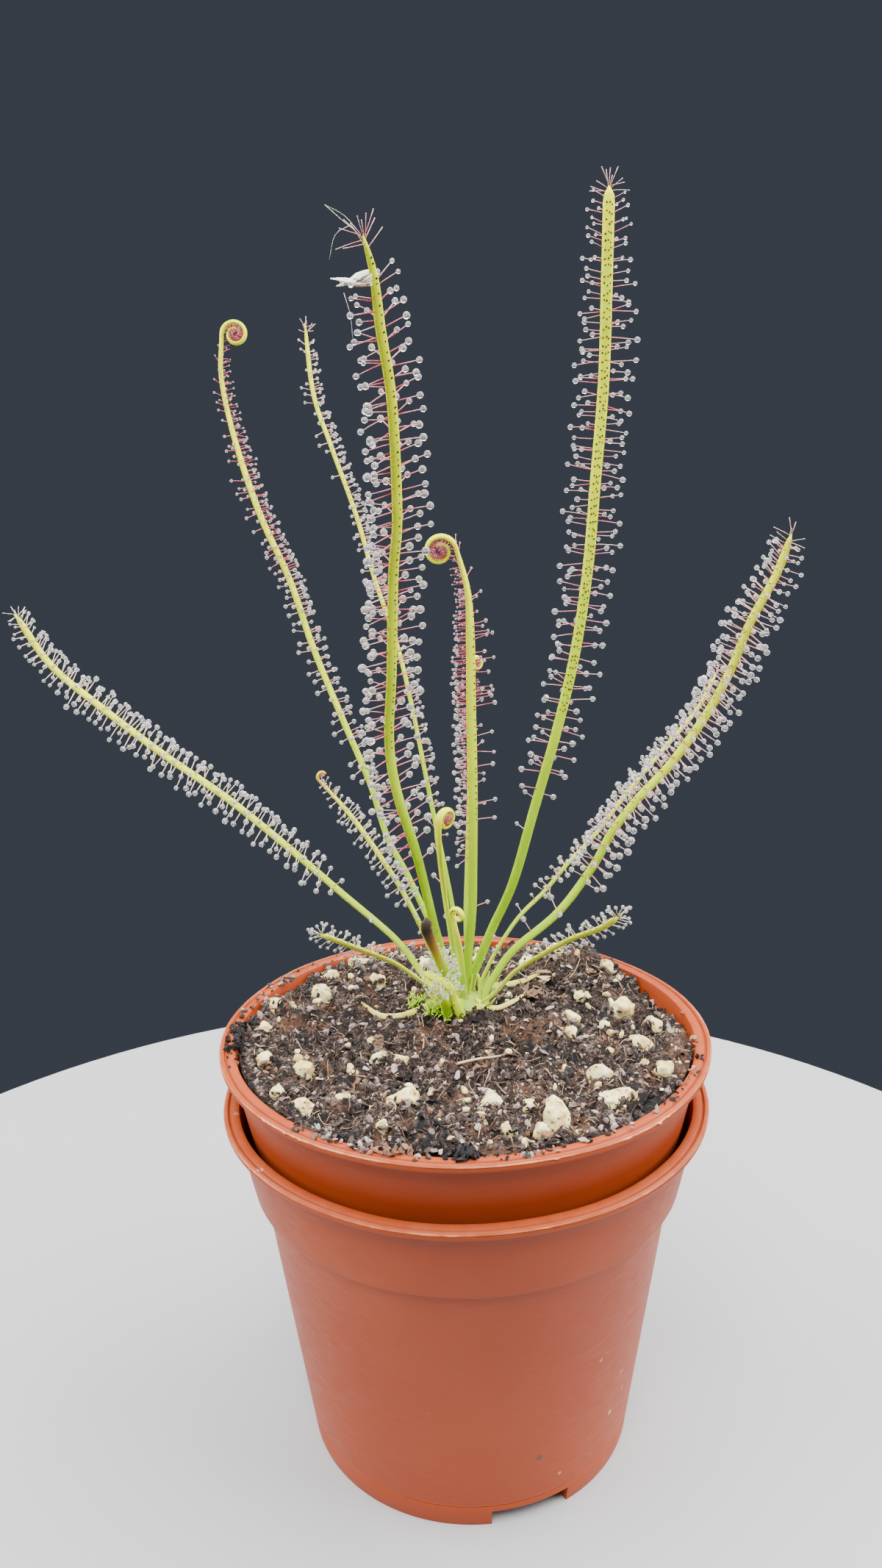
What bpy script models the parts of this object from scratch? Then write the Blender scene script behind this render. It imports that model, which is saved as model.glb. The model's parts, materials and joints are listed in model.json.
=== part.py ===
"""Potted sundew: thread-like fronds with sticky hairs, in potting mix, in two nested nursery pots.

Run with: blender --background --python part.py
Blender units are metres, +Z is up. Lengths are written in millimetres and turned to metres by MM.
Plant and pots are placed from the pots' common axis at floor level. That axis stands at POT_AXIS,
so that the box of the whole plant is centred over the origin. The front is towards -Y.
"""
import math
import random
from collections import namedtuple

import bmesh
import bpy
from mathutils import Matrix, Vector, kdtree

MM = 0.001
POT_AXIS = (11.0, 0.9)
GAP = 0.3
SEED = 11

# Pot, a nine centimetre nursery pot, used twice
RIM_RADIUS = 45.0
POT_HEIGHT = 70.0
POT_LIFT = 11.7
WALL = 1.2
BASE_RADIUS = 31.3
WALL_TOP_RADIUS = 38.6
COLLAR_FOOT_RADIUS = 40.3
COLLAR_TOP_RADIUS = 43.0
COLLAR_FOOT = 54.5
LIP_THICKNESS = 1.6
LIP_INNER_RADIUS = 42.2
FOOT_INNER_RADIUS = 29.8
FLOOR_UNDERSIDE = 1.8
FLOOR_TOP = 3.0
RING_LINE = 4.5
RING_DEPTH = 0.25
ROUND_STEPS = 36
NOTCHES = 3
NOTCH_ANGLE = 27.0
NOTCH_HEIGHT = 3.2
NOTCH_REACH = 26.0
NOTCH_START = -71.0

# Potting mix
SOIL_LEVEL = 79.4
SOIL_RINGS = (0.0, 7.0, 14.0, 21.0, 28.0, 34.5, 39.0)
SOIL_EDGE = 41.2
EDGE_RISE = 1.4
EDGE_RISE_FROM = 22.0
EDGE_RISE_WIDTH = 16.0

# Crown, the short stem that all fronds grow from
CROWN_AT = (0.0, 13.0, 79.3)
CROWN_RADIUS = 6.0
CROWN_SQUASH = 0.62
SLOT_SPREAD = 1.25
GOLDEN_ANGLE = 137.5
BASE_FROND_RADIUS = 0.6
SOCKET_DEPTH = 2.2
SOCKET_SIDES = 6

# Sticky hairs, each a stalk with a drop
STALK_BASE = 0.24
STALK_TOP = 0.19
HAIR_SINK = 0.35
HAIR_LEAN = 0.2
HAIR_ANGLES = (88, -88, 40, -97, 97, -48, 75, -75, 12)
HAIR_TRIES = (0, 24, -24, 46, -46, 70, -70)
HAIR_CLEARANCE = 0.45
FROND_SIDES = 6
RING_SPACING = 9.0
COIL_RINGS_PER_TURN = 10

# A frond's line runs from above the crown to its tip, in millimetres from the pots' axis.
# slot: its place on the crown. face: the side that carries the hairs. middle, tip: half widths.
# hairs: how many. short, long: hair lengths on the face and on the edges. drop: a drop's diameter.
# bare: the share of the line without hairs. coil: radius, turns and side of a coiled tip.
Frond = namedtuple("Frond", "name slot line face middle tip hairs short long drop bare coil")

FRONDS = (
    Frond("frond_far_left", 17,
          ((-8.5, 13, 88), (-13, 12, 95), (-23, 9, 106), (-33, 6, 117), (-42, 4, 126),
           (-52, 1, 135), (-61, -2, 144), (-68, -5, 152), (-72, -8, 161)),
          (0.3, -0.5, 0.8), 0.75, 0.5, 36, 2.0, 3.6, 1.0, 0.12, None),
    Frond("frond_tall_left", 14,
          ((-5.5, 17, 94), (-10, 18, 105), (-14, 18, 113.5), (-17, 19, 124), (-22, 20, 137),
           (-27, 22, 150), (-31, 23, 163), (-36, 24, 175), (-40, 26, 188), (-42, 27, 199),
           (-41.6, 28, 207)),
          (0.8, -0.5, 0.2), 0.75, 0.55, 36, 1.8, 3.0, 0.9, 0.15, (2.4, 1.3, (1, 0, 0))),
    Frond("frond_thin_left", 6,
          ((-1.3, 18, 96), (-3, 18.5, 107), (-5, 19, 118), (-6.4, 19.5, 126), (-8.5, 20.5, 138),
           (-11, 21, 150), (-15, 21.5, 163), (-18, 22, 174.5), (-22, 22.5, 186.5),
           (-25, 23.5, 196), (-26, 24, 208)),
          (0.8, -0.5, 0.2), 0.55, 0.4, 29, 1.6, 2.6, 0.8, 0.2, None),
    Frond("frond_front", 4,
          ((-3, 11, 89), (-5, 8, 98), (-8, 2, 115), (-11, -3, 128), (-12, -6, 138),
           (-11, -12, 151), (-10, -19, 167), (-9, -24, 176), (-9, -32, 191), (-10, -38, 200),
           (-10.5, -42, 206), (-11.5, -45, 210)),
          (-0.55, 0.75, 0.3), 0.9, 0.5, 48, 3.0, 4.6, 1.25, 0.12, None),
    Frond("frond_tall_right", 3,
          ((3, 14.5, 88), (6, 13.5, 96), (10, 12, 106), (14, 11, 121), (18, 10, 136),
           (21, 9, 150), (23, 8, 165), (24, 7, 180), (25, 6, 196), (25, 4, 212), (25, 3, 225)),
          (0, 0.9, 0.4), 0.9, 0.7, 46, 2.6, 4.2, 1.0, 0.14, None),
    Frond("frond_right_back", 8,
          ((4.6, 13.4, 87), (6.8, 12.5, 92), (11, 11.5, 99), (16, 11, 104.5), (20, 10, 110),
           (25, 9, 116), (29, 8, 122), (35, 6.5, 130.5), (41, 5, 138.5), (43, 4, 142), (45, 3, 147)),
          (-0.8, 0, 0.6), 0.65, 0.5, 20, 1.8, 2.8, 0.85, 0.15, None),
    Frond("frond_right", 13,
          ((6.3, 11.4, 87), (10, 10, 93), (18, 6, 102), (24, 3, 112), (27, 1, 119),
           (31, -2, 126), (36, -5, 133), (41, -8, 142), (44, -11, 150), (46, -14, 158),
           (49, -17, 166), (50, -20, 172)),
          (-0.3, -0.7, 0.6), 0.8, 0.5, 40, 2.4, 3.8, 1.1, 0.14, None),
    Frond("frond_centre", 0,
          ((1.2, 11.4, 91.4), (2, 10.4, 101), (2.2, 9.6, 110), (2.4, 8.8, 124), (2.3, 8, 141),
           (2.3, 7.2, 153.5), (1.9, 6.4, 162), (-0.1, 5, 169.6)),
          (-0.5, 0.85, 0.1), 1.0, 0.55, 26, 1.8, 2.8, 0.85, 0.22, (2.8, 1.3, (-1, 0, 0))),
    Frond("frond_centre_back", 11,
          ((0.9, 18, 95), (1.3, 18.5, 107), (2.2, 19, 121), (3.2, 20, 133), (4.2, 20.6, 141),
           (4.8, 21, 146.4)),
          (-0.9, -0.4, 0), 0.65, 0.45, 12, 1.6, 2.4, 0.8, 0.25, (2.1, 1.0, (-1, 0, 0))),
    Frond("frond_short_coiled", 1,
          ((-2, 11, 95), (-3, 8, 104), (-3.7, 5, 112), (-4.1, 2.2, 119), (-4.1, 1.3, 122.6)),
          (0.6, -0.8, 0), 0.85, 0.5, 6, 1.6, 2.6, 0.8, 0.4, (1.9, 1.1, (0.6, -0.8, 0))),
    Frond("frond_short_left", 9,
          ((-7, 13.5, 94.5), (-11, 12.5, 104), (-16, 12, 113), (-21, 11, 121), (-26, 10, 127.5)),
          (0.5, -0.6, 0.6), 0.55, 0.4, 16, 1.6, 2.6, 0.8, 0.2, (1.2, 0.5, (0.3, 0, 0.95))),
    Frond("frond_small_right", 18,
          ((6, 8.5, 84.5), (10, 7.5, 89.5), (15, 5, 94), (20, 2.5, 98), (25, 0, 101), (28, -2, 104)),
          (0, -0.5, 0.8), 0.5, 0.45, 16, 2.2, 3.2, 0.9, 0.35, None),
    Frond("frond_small_left", 12,
          ((-8, 9.5, 87), (-13, 7, 92), (-20, 3, 97), (-26, 0, 101)),
          (0, -0.5, 0.8), 0.55, 0.4, 10, 1.8, 2.6, 0.8, 0.4, None),
    Frond("frond_withered_tip", 7,
          ((-3.2, 6.5, 89.5), (-4.8, 0, 96.6), (-5.9, -4, 101.4), (-6.5, -6.6, 104.2), (-6.4, -7.6, 106.9)),
          (-0.2, 0.75, 0.1), 0.75, 0.7, 9, 1.6, 2.2, 0.85, 0.2, None),
    Frond("frond_lowest", 15,
          ((-1.7, 5.2, 84.5), (-2.5, 3.4, 88.2), (-4.9, 1.6, 91), (-7.6, 0, 93)),
          (0.3, -0.7, 0.6), 0.85, 0.45, 8, 1.4, 2.0, 0.85, 0.4, None),
    Frond("frond_bud", 2,
          ((-0.4, 8.5, 93), (-0.9, 6.8, 98), (-1.1, 6.2, 100.8)),
          (0, -1, 0), 0.55, 0.4, 0, 0.0, 0.0, 0.8, 0.5, (1.4, 1.0, (0.7, -0.7, 0))),
)

# Withered leaves on the mix: where they lie, and their half width
WITHERED = (
    ("withered_leaf_left", ((-7.4, 10.5), (-10.5, 8.6), (-14, 7.6), (-17, 9.5), (-21, 16)), 0.7),
    ("withered_leaf_right", ((6.6, 9.6), (9.2, 11.6), (11.6, 14.8), (13.5, 19)), 0.6),
    ("withered_leaf_back", ((5.2, 19.2), (8.5, 20.8), (12.5, 21.6), (17.5, 23)), 0.75),
)
WITHERED_LIFT = 0.65

# Pumice grains: place from the pots' axis and size
PUMICE = (
    (-29, 29, 3.1), (-36, 14, 3.8), (-28, 18, 4.4), (-37, 3, 3.1), (-28, -14, 4.0),
    (-32, -21, 2.4), (-27, -27, 3.6), (-21, -24, 2.5), (-11, -22, 3.8), (-14, -34, 2.6),
    (-16, -7, 2.4), (-11, -8, 2.5), (-4, -10, 2.2), (4, -25, 4.5), (10, -25, 2.4),
    (14, -31, 5.0), (11, -36, 2.5), (6, -35, 2.4), (23, -17, 4.0), (20, 1, 2.8),
    (25, -25, 4.6), (36, 3, 4.1), (32, -5, 3.6), (31, 12, 4.8), (27, 5, 2.6),
    (21, 8, 3.1), (24, 16, 2.8), (20, 30, 3.1), (30, 24, 3.5), (14, 30, 2.8),
    (-7, 31, 3.2), (3, 36, 2.6), (-17, 25, 2.8), (-22, 34, 3.0), (-36, -9, 2.6), (34, -16, 3.0),
)

TERRACOTTA = (0.50, 0.17, 0.075)
POTTING_MIX = (0.055, 0.036, 0.027)
GREEN = (0.36, 0.47, 0.035)
STRAW = (0.62, 0.47, 0.24)
CROWN_GREEN = (0.20, 0.24, 0.05)


def remove_all():
    """Leave nothing of an earlier scene behind."""
    for thing in list(bpy.data.objects):
        bpy.data.objects.remove(thing, do_unlink=True)


def finish(name, colour, roughness):
    """A plain material for one piece."""
    material = bpy.data.materials.new(name)
    material.use_nodes = True
    shader = material.node_tree.nodes["Principled BSDF"]
    shader.inputs["Base Color"].default_value = (*colour, 1.0)
    shader.inputs["Roughness"].default_value = roughness
    shader.inputs["Metallic"].default_value = 0.0
    return material


def put(bm, name, collection=None):
    """Turn a bmesh in millimetres round the pots' axis into an object in metres."""
    bmesh.ops.triangulate(bm, faces=bm.faces)
    bmesh.ops.scale(bm, vec=(MM, MM, MM), verts=bm.verts)
    bmesh.ops.translate(bm, vec=(POT_AXIS[0] * MM, POT_AXIS[1] * MM, 0.0), verts=bm.verts)
    mesh = bpy.data.meshes.new(name)
    bm.to_mesh(mesh)
    bm.free()
    thing = bpy.data.objects.new(name, mesh)
    (collection or bpy.context.scene.collection).objects.link(thing)
    return thing


def dress(thing, colour, roughness, sharp=35.0):
    """Give a finished piece its material and smooth shading."""
    thing.data.materials.clear()
    thing.data.materials.append(finish(thing.name, colour, roughness))
    thing.data.shade_smooth()
    thing.data.set_sharp_from_angle(angle=math.radians(sharp))


def combine(thing, cutters, operation, solver="EXACT"):
    """Join or cut a piece by all objects of a collection, then remove them."""
    modifier = thing.modifiers.new("combine", "BOOLEAN")
    modifier.operation = operation
    modifier.operand_type = "COLLECTION"
    modifier.collection = cutters
    modifier.solver = solver
    depsgraph = bpy.context.evaluated_depsgraph_get()
    result = bpy.data.meshes.new_from_object(thing.evaluated_get(depsgraph))
    thing.modifiers.clear()
    thing.data = result
    for cutter in list(cutters.objects):
        bpy.data.objects.remove(cutter, do_unlink=True)
    bpy.data.collections.remove(cutters)


def new_collection(name):
    collection = bpy.data.collections.new(name)
    bpy.context.scene.collection.children.link(collection)
    return collection


def spun(profile, steps):
    """A closed solid turned round the axis from a profile that starts and ends on it."""
    bm = bmesh.new()
    corners = [bm.verts.new((radius, 0.0, height)) for radius, height in profile]
    edges = [bm.edges.new(pair) for pair in zip(corners, corners[1:])]
    bmesh.ops.spin(bm, geom=corners + edges, cent=(0, 0, 0), axis=(0, 0, 1),
                   angle=math.tau, steps=steps, use_merge=True)
    bmesh.ops.remove_doubles(bm, verts=bm.verts, dist=0.001)
    bmesh.ops.recalc_face_normals(bm, faces=bm.faces)
    return bm


def wall_radius(height):
    """The outside of a pot's plain wall at a height above its own foot."""
    return BASE_RADIUS + (WALL_TOP_RADIUS - BASE_RADIUS) * height / COLLAR_FOOT


def collar_radius(height):
    """The outside of a pot's collar at a height above its own foot."""
    share = (height - COLLAR_FOOT) / (POT_HEIGHT - LIP_THICKNESS - COLLAR_FOOT)
    return COLLAR_FOOT_RADIUS + (COLLAR_TOP_RADIUS - COLLAR_FOOT_RADIUS) * share


def pot_profile():
    """A pot's section, from the middle of its underside round to the middle of its inside."""
    lip_foot = POT_HEIGHT - LIP_THICKNESS
    return (
        (0.0, FLOOR_UNDERSIDE),
        (FOOT_INNER_RADIUS, FLOOR_UNDERSIDE),
        (FOOT_INNER_RADIUS, 0.0),
        (BASE_RADIUS, 0.0),
        (wall_radius(RING_LINE - 0.5), RING_LINE - 0.5),
        (wall_radius(RING_LINE) - RING_DEPTH, RING_LINE),
        (wall_radius(RING_LINE + 0.5), RING_LINE + 0.5),
        (wall_radius(COLLAR_FOOT), COLLAR_FOOT),
        (COLLAR_FOOT_RADIUS - 0.3, COLLAR_FOOT),
        (COLLAR_FOOT_RADIUS, COLLAR_FOOT + 0.4),
        (collar_radius(lip_foot), lip_foot),
        (RIM_RADIUS - 0.3, lip_foot),
        (RIM_RADIUS, lip_foot + 0.4),
        (RIM_RADIUS - 0.3, POT_HEIGHT - 0.1),
        (RIM_RADIUS - 0.7, POT_HEIGHT),
        (RIM_RADIUS - 1.1, POT_HEIGHT - 0.25),
        (RIM_RADIUS - 1.5, POT_HEIGHT),
        (LIP_INNER_RADIUS, POT_HEIGHT),
        (collar_radius(lip_foot) - WALL, lip_foot - 0.6),
        (collar_radius(COLLAR_FOOT + WALL) - WALL, COLLAR_FOOT + WALL),
        (wall_radius(COLLAR_FOOT - 0.5) - WALL, COLLAR_FOOT - 0.5),
        (wall_radius(FLOOR_TOP) - WALL, FLOOR_TOP),
        (0.0, FLOOR_TOP),
    )


def notch(start, lift, collection):
    """A cutter for one drain notch, through the foot and the corner above it."""
    bm = bmesh.new()
    low = lift - 1.0
    inner = bm.verts.new((NOTCH_REACH, 0.0, low))
    outer = bm.verts.new((RIM_RADIUS, 0.0, low))
    edge = bm.edges.new((inner, outer))
    turn = math.radians(NOTCH_ANGLE)
    bmesh.ops.spin(bm, geom=[inner, outer, edge], cent=(0, 0, 0), axis=(0, 0, 1), angle=turn, steps=4)
    bmesh.ops.rotate(bm, verts=bm.verts, cent=(0, 0, 0),
                     matrix=Matrix.Rotation(math.radians(start) - turn / 2, 3, "Z"))
    raised = bmesh.ops.extrude_face_region(bm, geom=bm.faces[:])["geom"]
    raised = [item for item in raised if isinstance(item, bmesh.types.BMVert)]
    bmesh.ops.translate(bm, vec=(0, 0, NOTCH_HEIGHT + 1.0), verts=raised)
    bmesh.ops.recalc_face_normals(bm, faces=bm.faces)
    cutter = put(bm, "notch", collection)
    cutter.hide_render = True
    cutter.display_type = "WIRE"


def pot(name, lift):
    """One nursery pot, standing at a height above the floor."""
    profile = [(radius, height + lift) for radius, height in pot_profile()]
    thing = put(spun(profile, ROUND_STEPS), name)
    cutters = new_collection("notches")
    for number in range(NOTCHES):
        notch(NOTCH_START + number * 360 / NOTCHES, lift, cutters)
    combine(thing, cutters, "DIFFERENCE")
    dress(thing, TERRACOTTA, 0.45)


def bump(x, y, at_x, at_y, width):
    """A round rise of height one at a place."""
    return math.exp(-((x - at_x) ** 2 + (y - at_y) ** 2) / (2 * width ** 2))


def soil_height(x, y):
    """The surface of the potting mix: low at the right, heaped at the back right and the front."""
    height = SOIL_LEVEL
    height -= 2.6 * bump(x, y, 36, 12, 9)
    height += 3.6 * bump(x, y, 24, 29, 7)
    height += 1.2 * bump(x, y, -8, -36, 9)
    height += 0.8 * bump(x, y, 0, 13, 8)
    height -= 0.9 * bump(x, y, -32, 16, 9)
    height += 0.35 * math.sin(0.42 * x + 0.5) * math.sin(0.37 * y)
    rise = min(1.0, max(0.0, (math.hypot(x, y) - EDGE_RISE_FROM) / EDGE_RISE_WIDTH))
    return height + EDGE_RISE * rise ** 2 * (3 - 2 * rise)


def soil_profile():
    """The mix's section: flat on top here, then down the inside of the raised pot."""
    top = [(radius, SOIL_LEVEL) for radius in (*SOIL_RINGS, SOIL_EDGE)]
    side = (
        (collar_radius(COLLAR_FOOT + WALL + 1.0) - WALL - GAP, COLLAR_FOOT + WALL + 1.0 + POT_LIFT),
        (wall_radius(COLLAR_FOOT - 1.0) - WALL - GAP, COLLAR_FOOT - 1.0 + POT_LIFT),
        (wall_radius(FLOOR_TOP + GAP) - WALL - GAP, FLOOR_TOP + GAP + POT_LIFT),
        (0.0, FLOOR_TOP + GAP + POT_LIFT),
    )
    return (*top, *side)


def grain(x, y, size, draw, collection):
    """One lump of pumice, half sunk in the mix."""
    reach = math.hypot(x, y)
    most = SOIL_EDGE - size / 2 - 0.6
    if reach > most:
        x, y = x * most / reach, y * most / reach
    bm = bmesh.new()
    bmesh.ops.create_icosphere(bm, subdivisions=1, radius=size / 2)
    for corner in bm.verts:
        corner.co *= draw.uniform(0.82, 1.12)
    bmesh.ops.scale(bm, vec=(1.1, 0.9, 0.8), verts=bm.verts)
    turn = Matrix.Rotation(draw.uniform(0, math.tau), 3, "Z")
    bmesh.ops.rotate(bm, verts=bm.verts, cent=(0, 0, 0), matrix=turn)
    bmesh.ops.translate(bm, vec=(x, y, soil_height(x, y) + 0.12 * size), verts=bm.verts)
    put(bm, "grain", collection)


def crown_solid(extra):
    """The crown's rounded body, larger all round by a clearance."""
    bm = bmesh.new()
    bmesh.ops.create_uvsphere(bm, u_segments=12, v_segments=6, radius=1.0)
    across = CROWN_RADIUS + extra
    bmesh.ops.scale(bm, vec=(across, across, CROWN_RADIUS * CROWN_SQUASH + extra), verts=bm.verts)
    bmesh.ops.translate(bm, vec=CROWN_AT, verts=bm.verts)
    return bm


def soil(stems):
    """The potting mix, with pumice grains fused into its surface and a hole for the crown."""
    bm = spun(soil_profile(), ROUND_STEPS)
    for corner in bm.verts:
        if corner.co.z > SOIL_LEVEL - 0.01:
            corner.co.z = soil_height(corner.co.x, corner.co.y)
    thing = put(bm, "potting_mix")
    grains = new_collection("grains")
    draw = random.Random(SEED)
    for x, y, size in PUMICE:
        grain(x, y, size, draw, grains)
    combine(thing, grains, "UNION")
    hole = new_collection("crown_hole")
    put(crown_solid(GAP), "crown_hole", hole)
    combine(thing, hole, "DIFFERENCE")
    combine(thing, sockets(stems), "DIFFERENCE")
    dress(thing, POTTING_MIX, 0.95, 20.0)


def slot_at(number):
    """A frond's place on the crown: the sunflower rule, seen from above."""
    angle = math.radians(number * GOLDEN_ANGLE)
    reach = SLOT_SPREAD * math.sqrt(number + 0.5)
    x, y = reach * math.cos(angle), reach * math.sin(angle)
    rise = CROWN_SQUASH * math.sqrt(CROWN_RADIUS ** 2 - reach ** 2)
    return Vector((CROWN_AT[0] + x, CROWN_AT[1] + y, CROWN_AT[2] + rise))


def smooth_line(points, spacing):
    """Points on a smooth curve through the given ones, about one spacing apart."""
    points = [Vector(point) for point in points]
    ends = [2 * points[0] - points[1], *points, 2 * points[-1] - points[-2]]
    fine = []
    for before, here, there, after in zip(ends, ends[1:], ends[2:], ends[3:]):
        for step in range(12):
            t = step / 12
            fine.append(0.5 * (2 * here + (there - before) * t
                               + (2 * before - 5 * here + 4 * there - after) * t ** 2
                               + (3 * here - before - 3 * there + after) * t ** 3))
    fine.append(points[-1])
    total = sum((b - a).length for a, b in zip(fine, fine[1:]))
    count = max(2, round(total / spacing))
    line = [fine[0]]
    walked = 0.0
    for a, b in zip(fine, fine[1:]):
        step = (b - a).length
        while len(line) < count and walked + step >= len(line) * total / count:
            line.append(a.lerp(b, (len(line) * total / count - walked) / step))
        walked += step
    line.append(fine[-1])
    return line


def coil_points(line, coil):
    """The spiral that a coiled tip adds to the end of its line."""
    radius, turns, side = coil
    end = line[-1]
    along = (line[-1] - line[-2]).normalized()
    inward = Vector(side)
    inward = (inward - inward.dot(along) * along).normalized()
    centre = end + inward * radius
    count = round(turns * COIL_RINGS_PER_TURN)
    points = []
    for number in range(1, count + 1):
        angle = math.tau * turns * number / count
        shrunk = radius * (1 - 0.62 * number / count)
        points.append(centre + shrunk * (along * math.sin(angle) - inward * math.cos(angle)))
    return points


def frond_line(frond):
    """A frond's middle line, from its socket in the crown to its tip, and the part before a coil."""
    root = slot_at(frond.slot)
    base = root - Vector((0, 0, SOCKET_DEPTH))
    out = root + Vector((0, 0, 1.6))
    stem = [base, root, *smooth_line((out, *frond.line), RING_SPACING)]
    return stem, stem + (coil_points(stem, frond.coil) if frond.coil else [])


def half_width(frond, share):
    """A frond widens from its base to its middle, then narrows to its tip."""
    if share < 0.3:
        return BASE_FROND_RADIUS + (frond.middle - BASE_FROND_RADIUS) * share / 0.3
    if share < 0.65:
        return frond.middle
    return frond.middle + (frond.tip - frond.middle) * (share - 0.65) / 0.35


def tube(line, radii, sides):
    """A closed tube along a line, extruded ring by ring from a first polygon."""
    bm = bmesh.new()
    across = Vector((1, 0, 0))
    bmesh.ops.create_circle(bm, cap_ends=True, segments=sides, radius=1.0)
    ring = list(bm.verts)
    cap = next(iter(bm.faces))
    for number, (point, radius) in enumerate(zip(line, radii)):
        ahead = line[min(number + 1, len(line) - 1)]
        behind = line[max(number - 1, 0)]
        along = (ahead - behind).normalized()
        across = (across - across.dot(along) * along).normalized()
        other = along.cross(across)
        if number:
            grown = bmesh.ops.extrude_face_region(bm, geom=[cap])["geom"]
            new_cap = next(item for item in grown if isinstance(item, bmesh.types.BMFace))
            partners = {}
            for corner in ring:
                for link in corner.link_edges:
                    far = link.other_vert(corner)
                    if far in new_cap.verts:
                        partners[corner] = far
            ring = [partners[corner] for corner in ring]
            if number > 1:
                bm.faces.remove(cap)
            cap = new_cap
        for turn, corner in enumerate(ring):
            angle = math.tau * turn / sides
            corner.co = point + radius * (across * math.cos(angle) + other * math.sin(angle))
    bmesh.ops.recalc_face_normals(bm, faces=bm.faces)
    return bm


def hair_mesh(length, drop):
    """One sticky hair along +Z: a three-sided stalk that ends in a drop."""
    bm = bmesh.new()
    bmesh.ops.create_cone(bm, cap_ends=True, segments=3, radius1=STALK_BASE, radius2=STALK_TOP,
                          depth=length - drop)
    bmesh.ops.translate(bm, vec=(0, 0, (length - drop) / 2), verts=bm.verts)
    top = max(bm.faces, key=lambda face: face.calc_center_median().z)
    grown = bmesh.ops.extrude_face_region(bm, geom=[top])["geom"]
    bm.faces.remove(top)
    ring = [item for item in grown if isinstance(item, bmesh.types.BMVert)]
    wide = 0.62 * drop / STALK_TOP
    bmesh.ops.scale(bm, vec=(wide, wide, 1), verts=ring)
    bmesh.ops.translate(bm, vec=(0, 0, 0.55 * drop), verts=ring)
    lid = max(bm.faces, key=lambda face: face.calc_center_median().z)
    bmesh.ops.poke(bm, faces=[lid])
    tip = max(bm.verts, key=lambda corner: len(corner.link_edges) == 3 and corner.co.z)
    tip.co = (0, 0, length)
    bmesh.ops.recalc_face_normals(bm, faces=bm.faces)
    return bm


def samples(a, b, radius, spacing=0.6):
    """Points along a straight run, each with its radius, to test what is clear of what."""
    count = max(1, math.ceil((b - a).length / spacing))
    return [(a.lerp(b, step / count), radius) for step in range(count + 1)]


def is_clear(root, end, drop, tree, radii):
    """Whether a hair keeps its distance from every other frond and its hairs."""
    if end.z < soil_height(end.x, end.y) + drop + 0.4:
        return False
    for point, radius in samples(root, end, STALK_BASE) + [(end, drop * 0.7)]:
        for _, number, distance in tree.find_range(point, 3.5):
            if distance < radius + radii[number] + HAIR_CLEARANCE:
                return False
    return True


def hair_places(frond, stem, taken, draw):
    """Root, direction and length of each hair of a frond, bent clear of the other fronds."""
    others = [entry for name, entries in taken.items() if name != frond.name for entry in entries]
    tree = kdtree.KDTree(len(others))
    for number, (point, _) in enumerate(others):
        tree.insert(point, number)
    tree.balance()
    radii = [radius for _, radius in others]
    lengths = [(b - a).length for a, b in zip(stem, stem[1:])]
    total = sum(lengths)
    places = []
    for number in range(frond.hairs):
        share = frond.bare + (1 - frond.bare) * (number + 0.6 + draw.uniform(-0.2, 0.2)) / frond.hairs
        walk = min(share, 0.995) * total
        for a, b, length in zip(stem, stem[1:], lengths):
            if walk <= length:
                break
            walk -= length
        root = a.lerp(b, min(1.0, walk / length))
        along = (b - a).normalized()
        face = Vector(frond.face)
        face = (face - face.dot(along) * along).normalized()
        edge = along.cross(face)
        wanted = HAIR_ANGLES[number % len(HAIR_ANGLES)] + draw.uniform(-9, 9)
        for bend in HAIR_TRIES:
            angle = math.radians(wanted + bend)
            reach = frond.short + (frond.long - frond.short) * abs(math.sin(angle)) ** 2
            reach += half_width(frond, share) + draw.uniform(-0.3, 0.3)
            lean = HAIR_LEAN + 1.2 * max(0.0, (share - 0.97) / 0.03)
            aim = (face * math.cos(angle) + edge * math.sin(angle) + lean * along).normalized()
            end = root + aim * reach
            if is_clear(root + aim * 0.8, end, frond.drop, tree, radii):
                places.append((root + aim * HAIR_SINK * half_width(frond, share), aim, reach))
                taken[frond.name] += samples(root, end, STALK_BASE) + [(end - aim * 0.4, frond.drop * 0.7)]
                break
    return places


def body_samples(frond, line):
    """The room that a frond's own body takes up."""
    found = []
    for a, b in zip(line, line[1:]):
        found += samples(a, b, frond.middle)
    return found


def frond_radii(frond, stem, line):
    """Half widths along a frond's line, with the coil narrowing to its end."""
    last = len(stem) - 1
    radii = [half_width(frond, number / last) for number in range(len(stem))]
    extra = len(line) - len(stem)
    radii += [frond.tip * (1 - 0.4 * (number + 1) / extra) for number in range(extra)]
    return radii


def sockets(stems):
    """Cutters a little wider than each frond's base, to clear the crown and the mix."""
    collection = new_collection("sockets")
    for stem in stems:
        base = [stem[0] - Vector((0, 0, GAP)), stem[1], stem[2], stem[3]]
        radii = [BASE_FROND_RADIUS + GAP + 0.06] * 3 + [BASE_FROND_RADIUS + 2 * GAP]
        cutter = put(tube(base, radii, SOCKET_SIDES), "socket", collection)
        cutter.hide_render = True
        cutter.display_type = "WIRE"
    return collection


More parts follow.
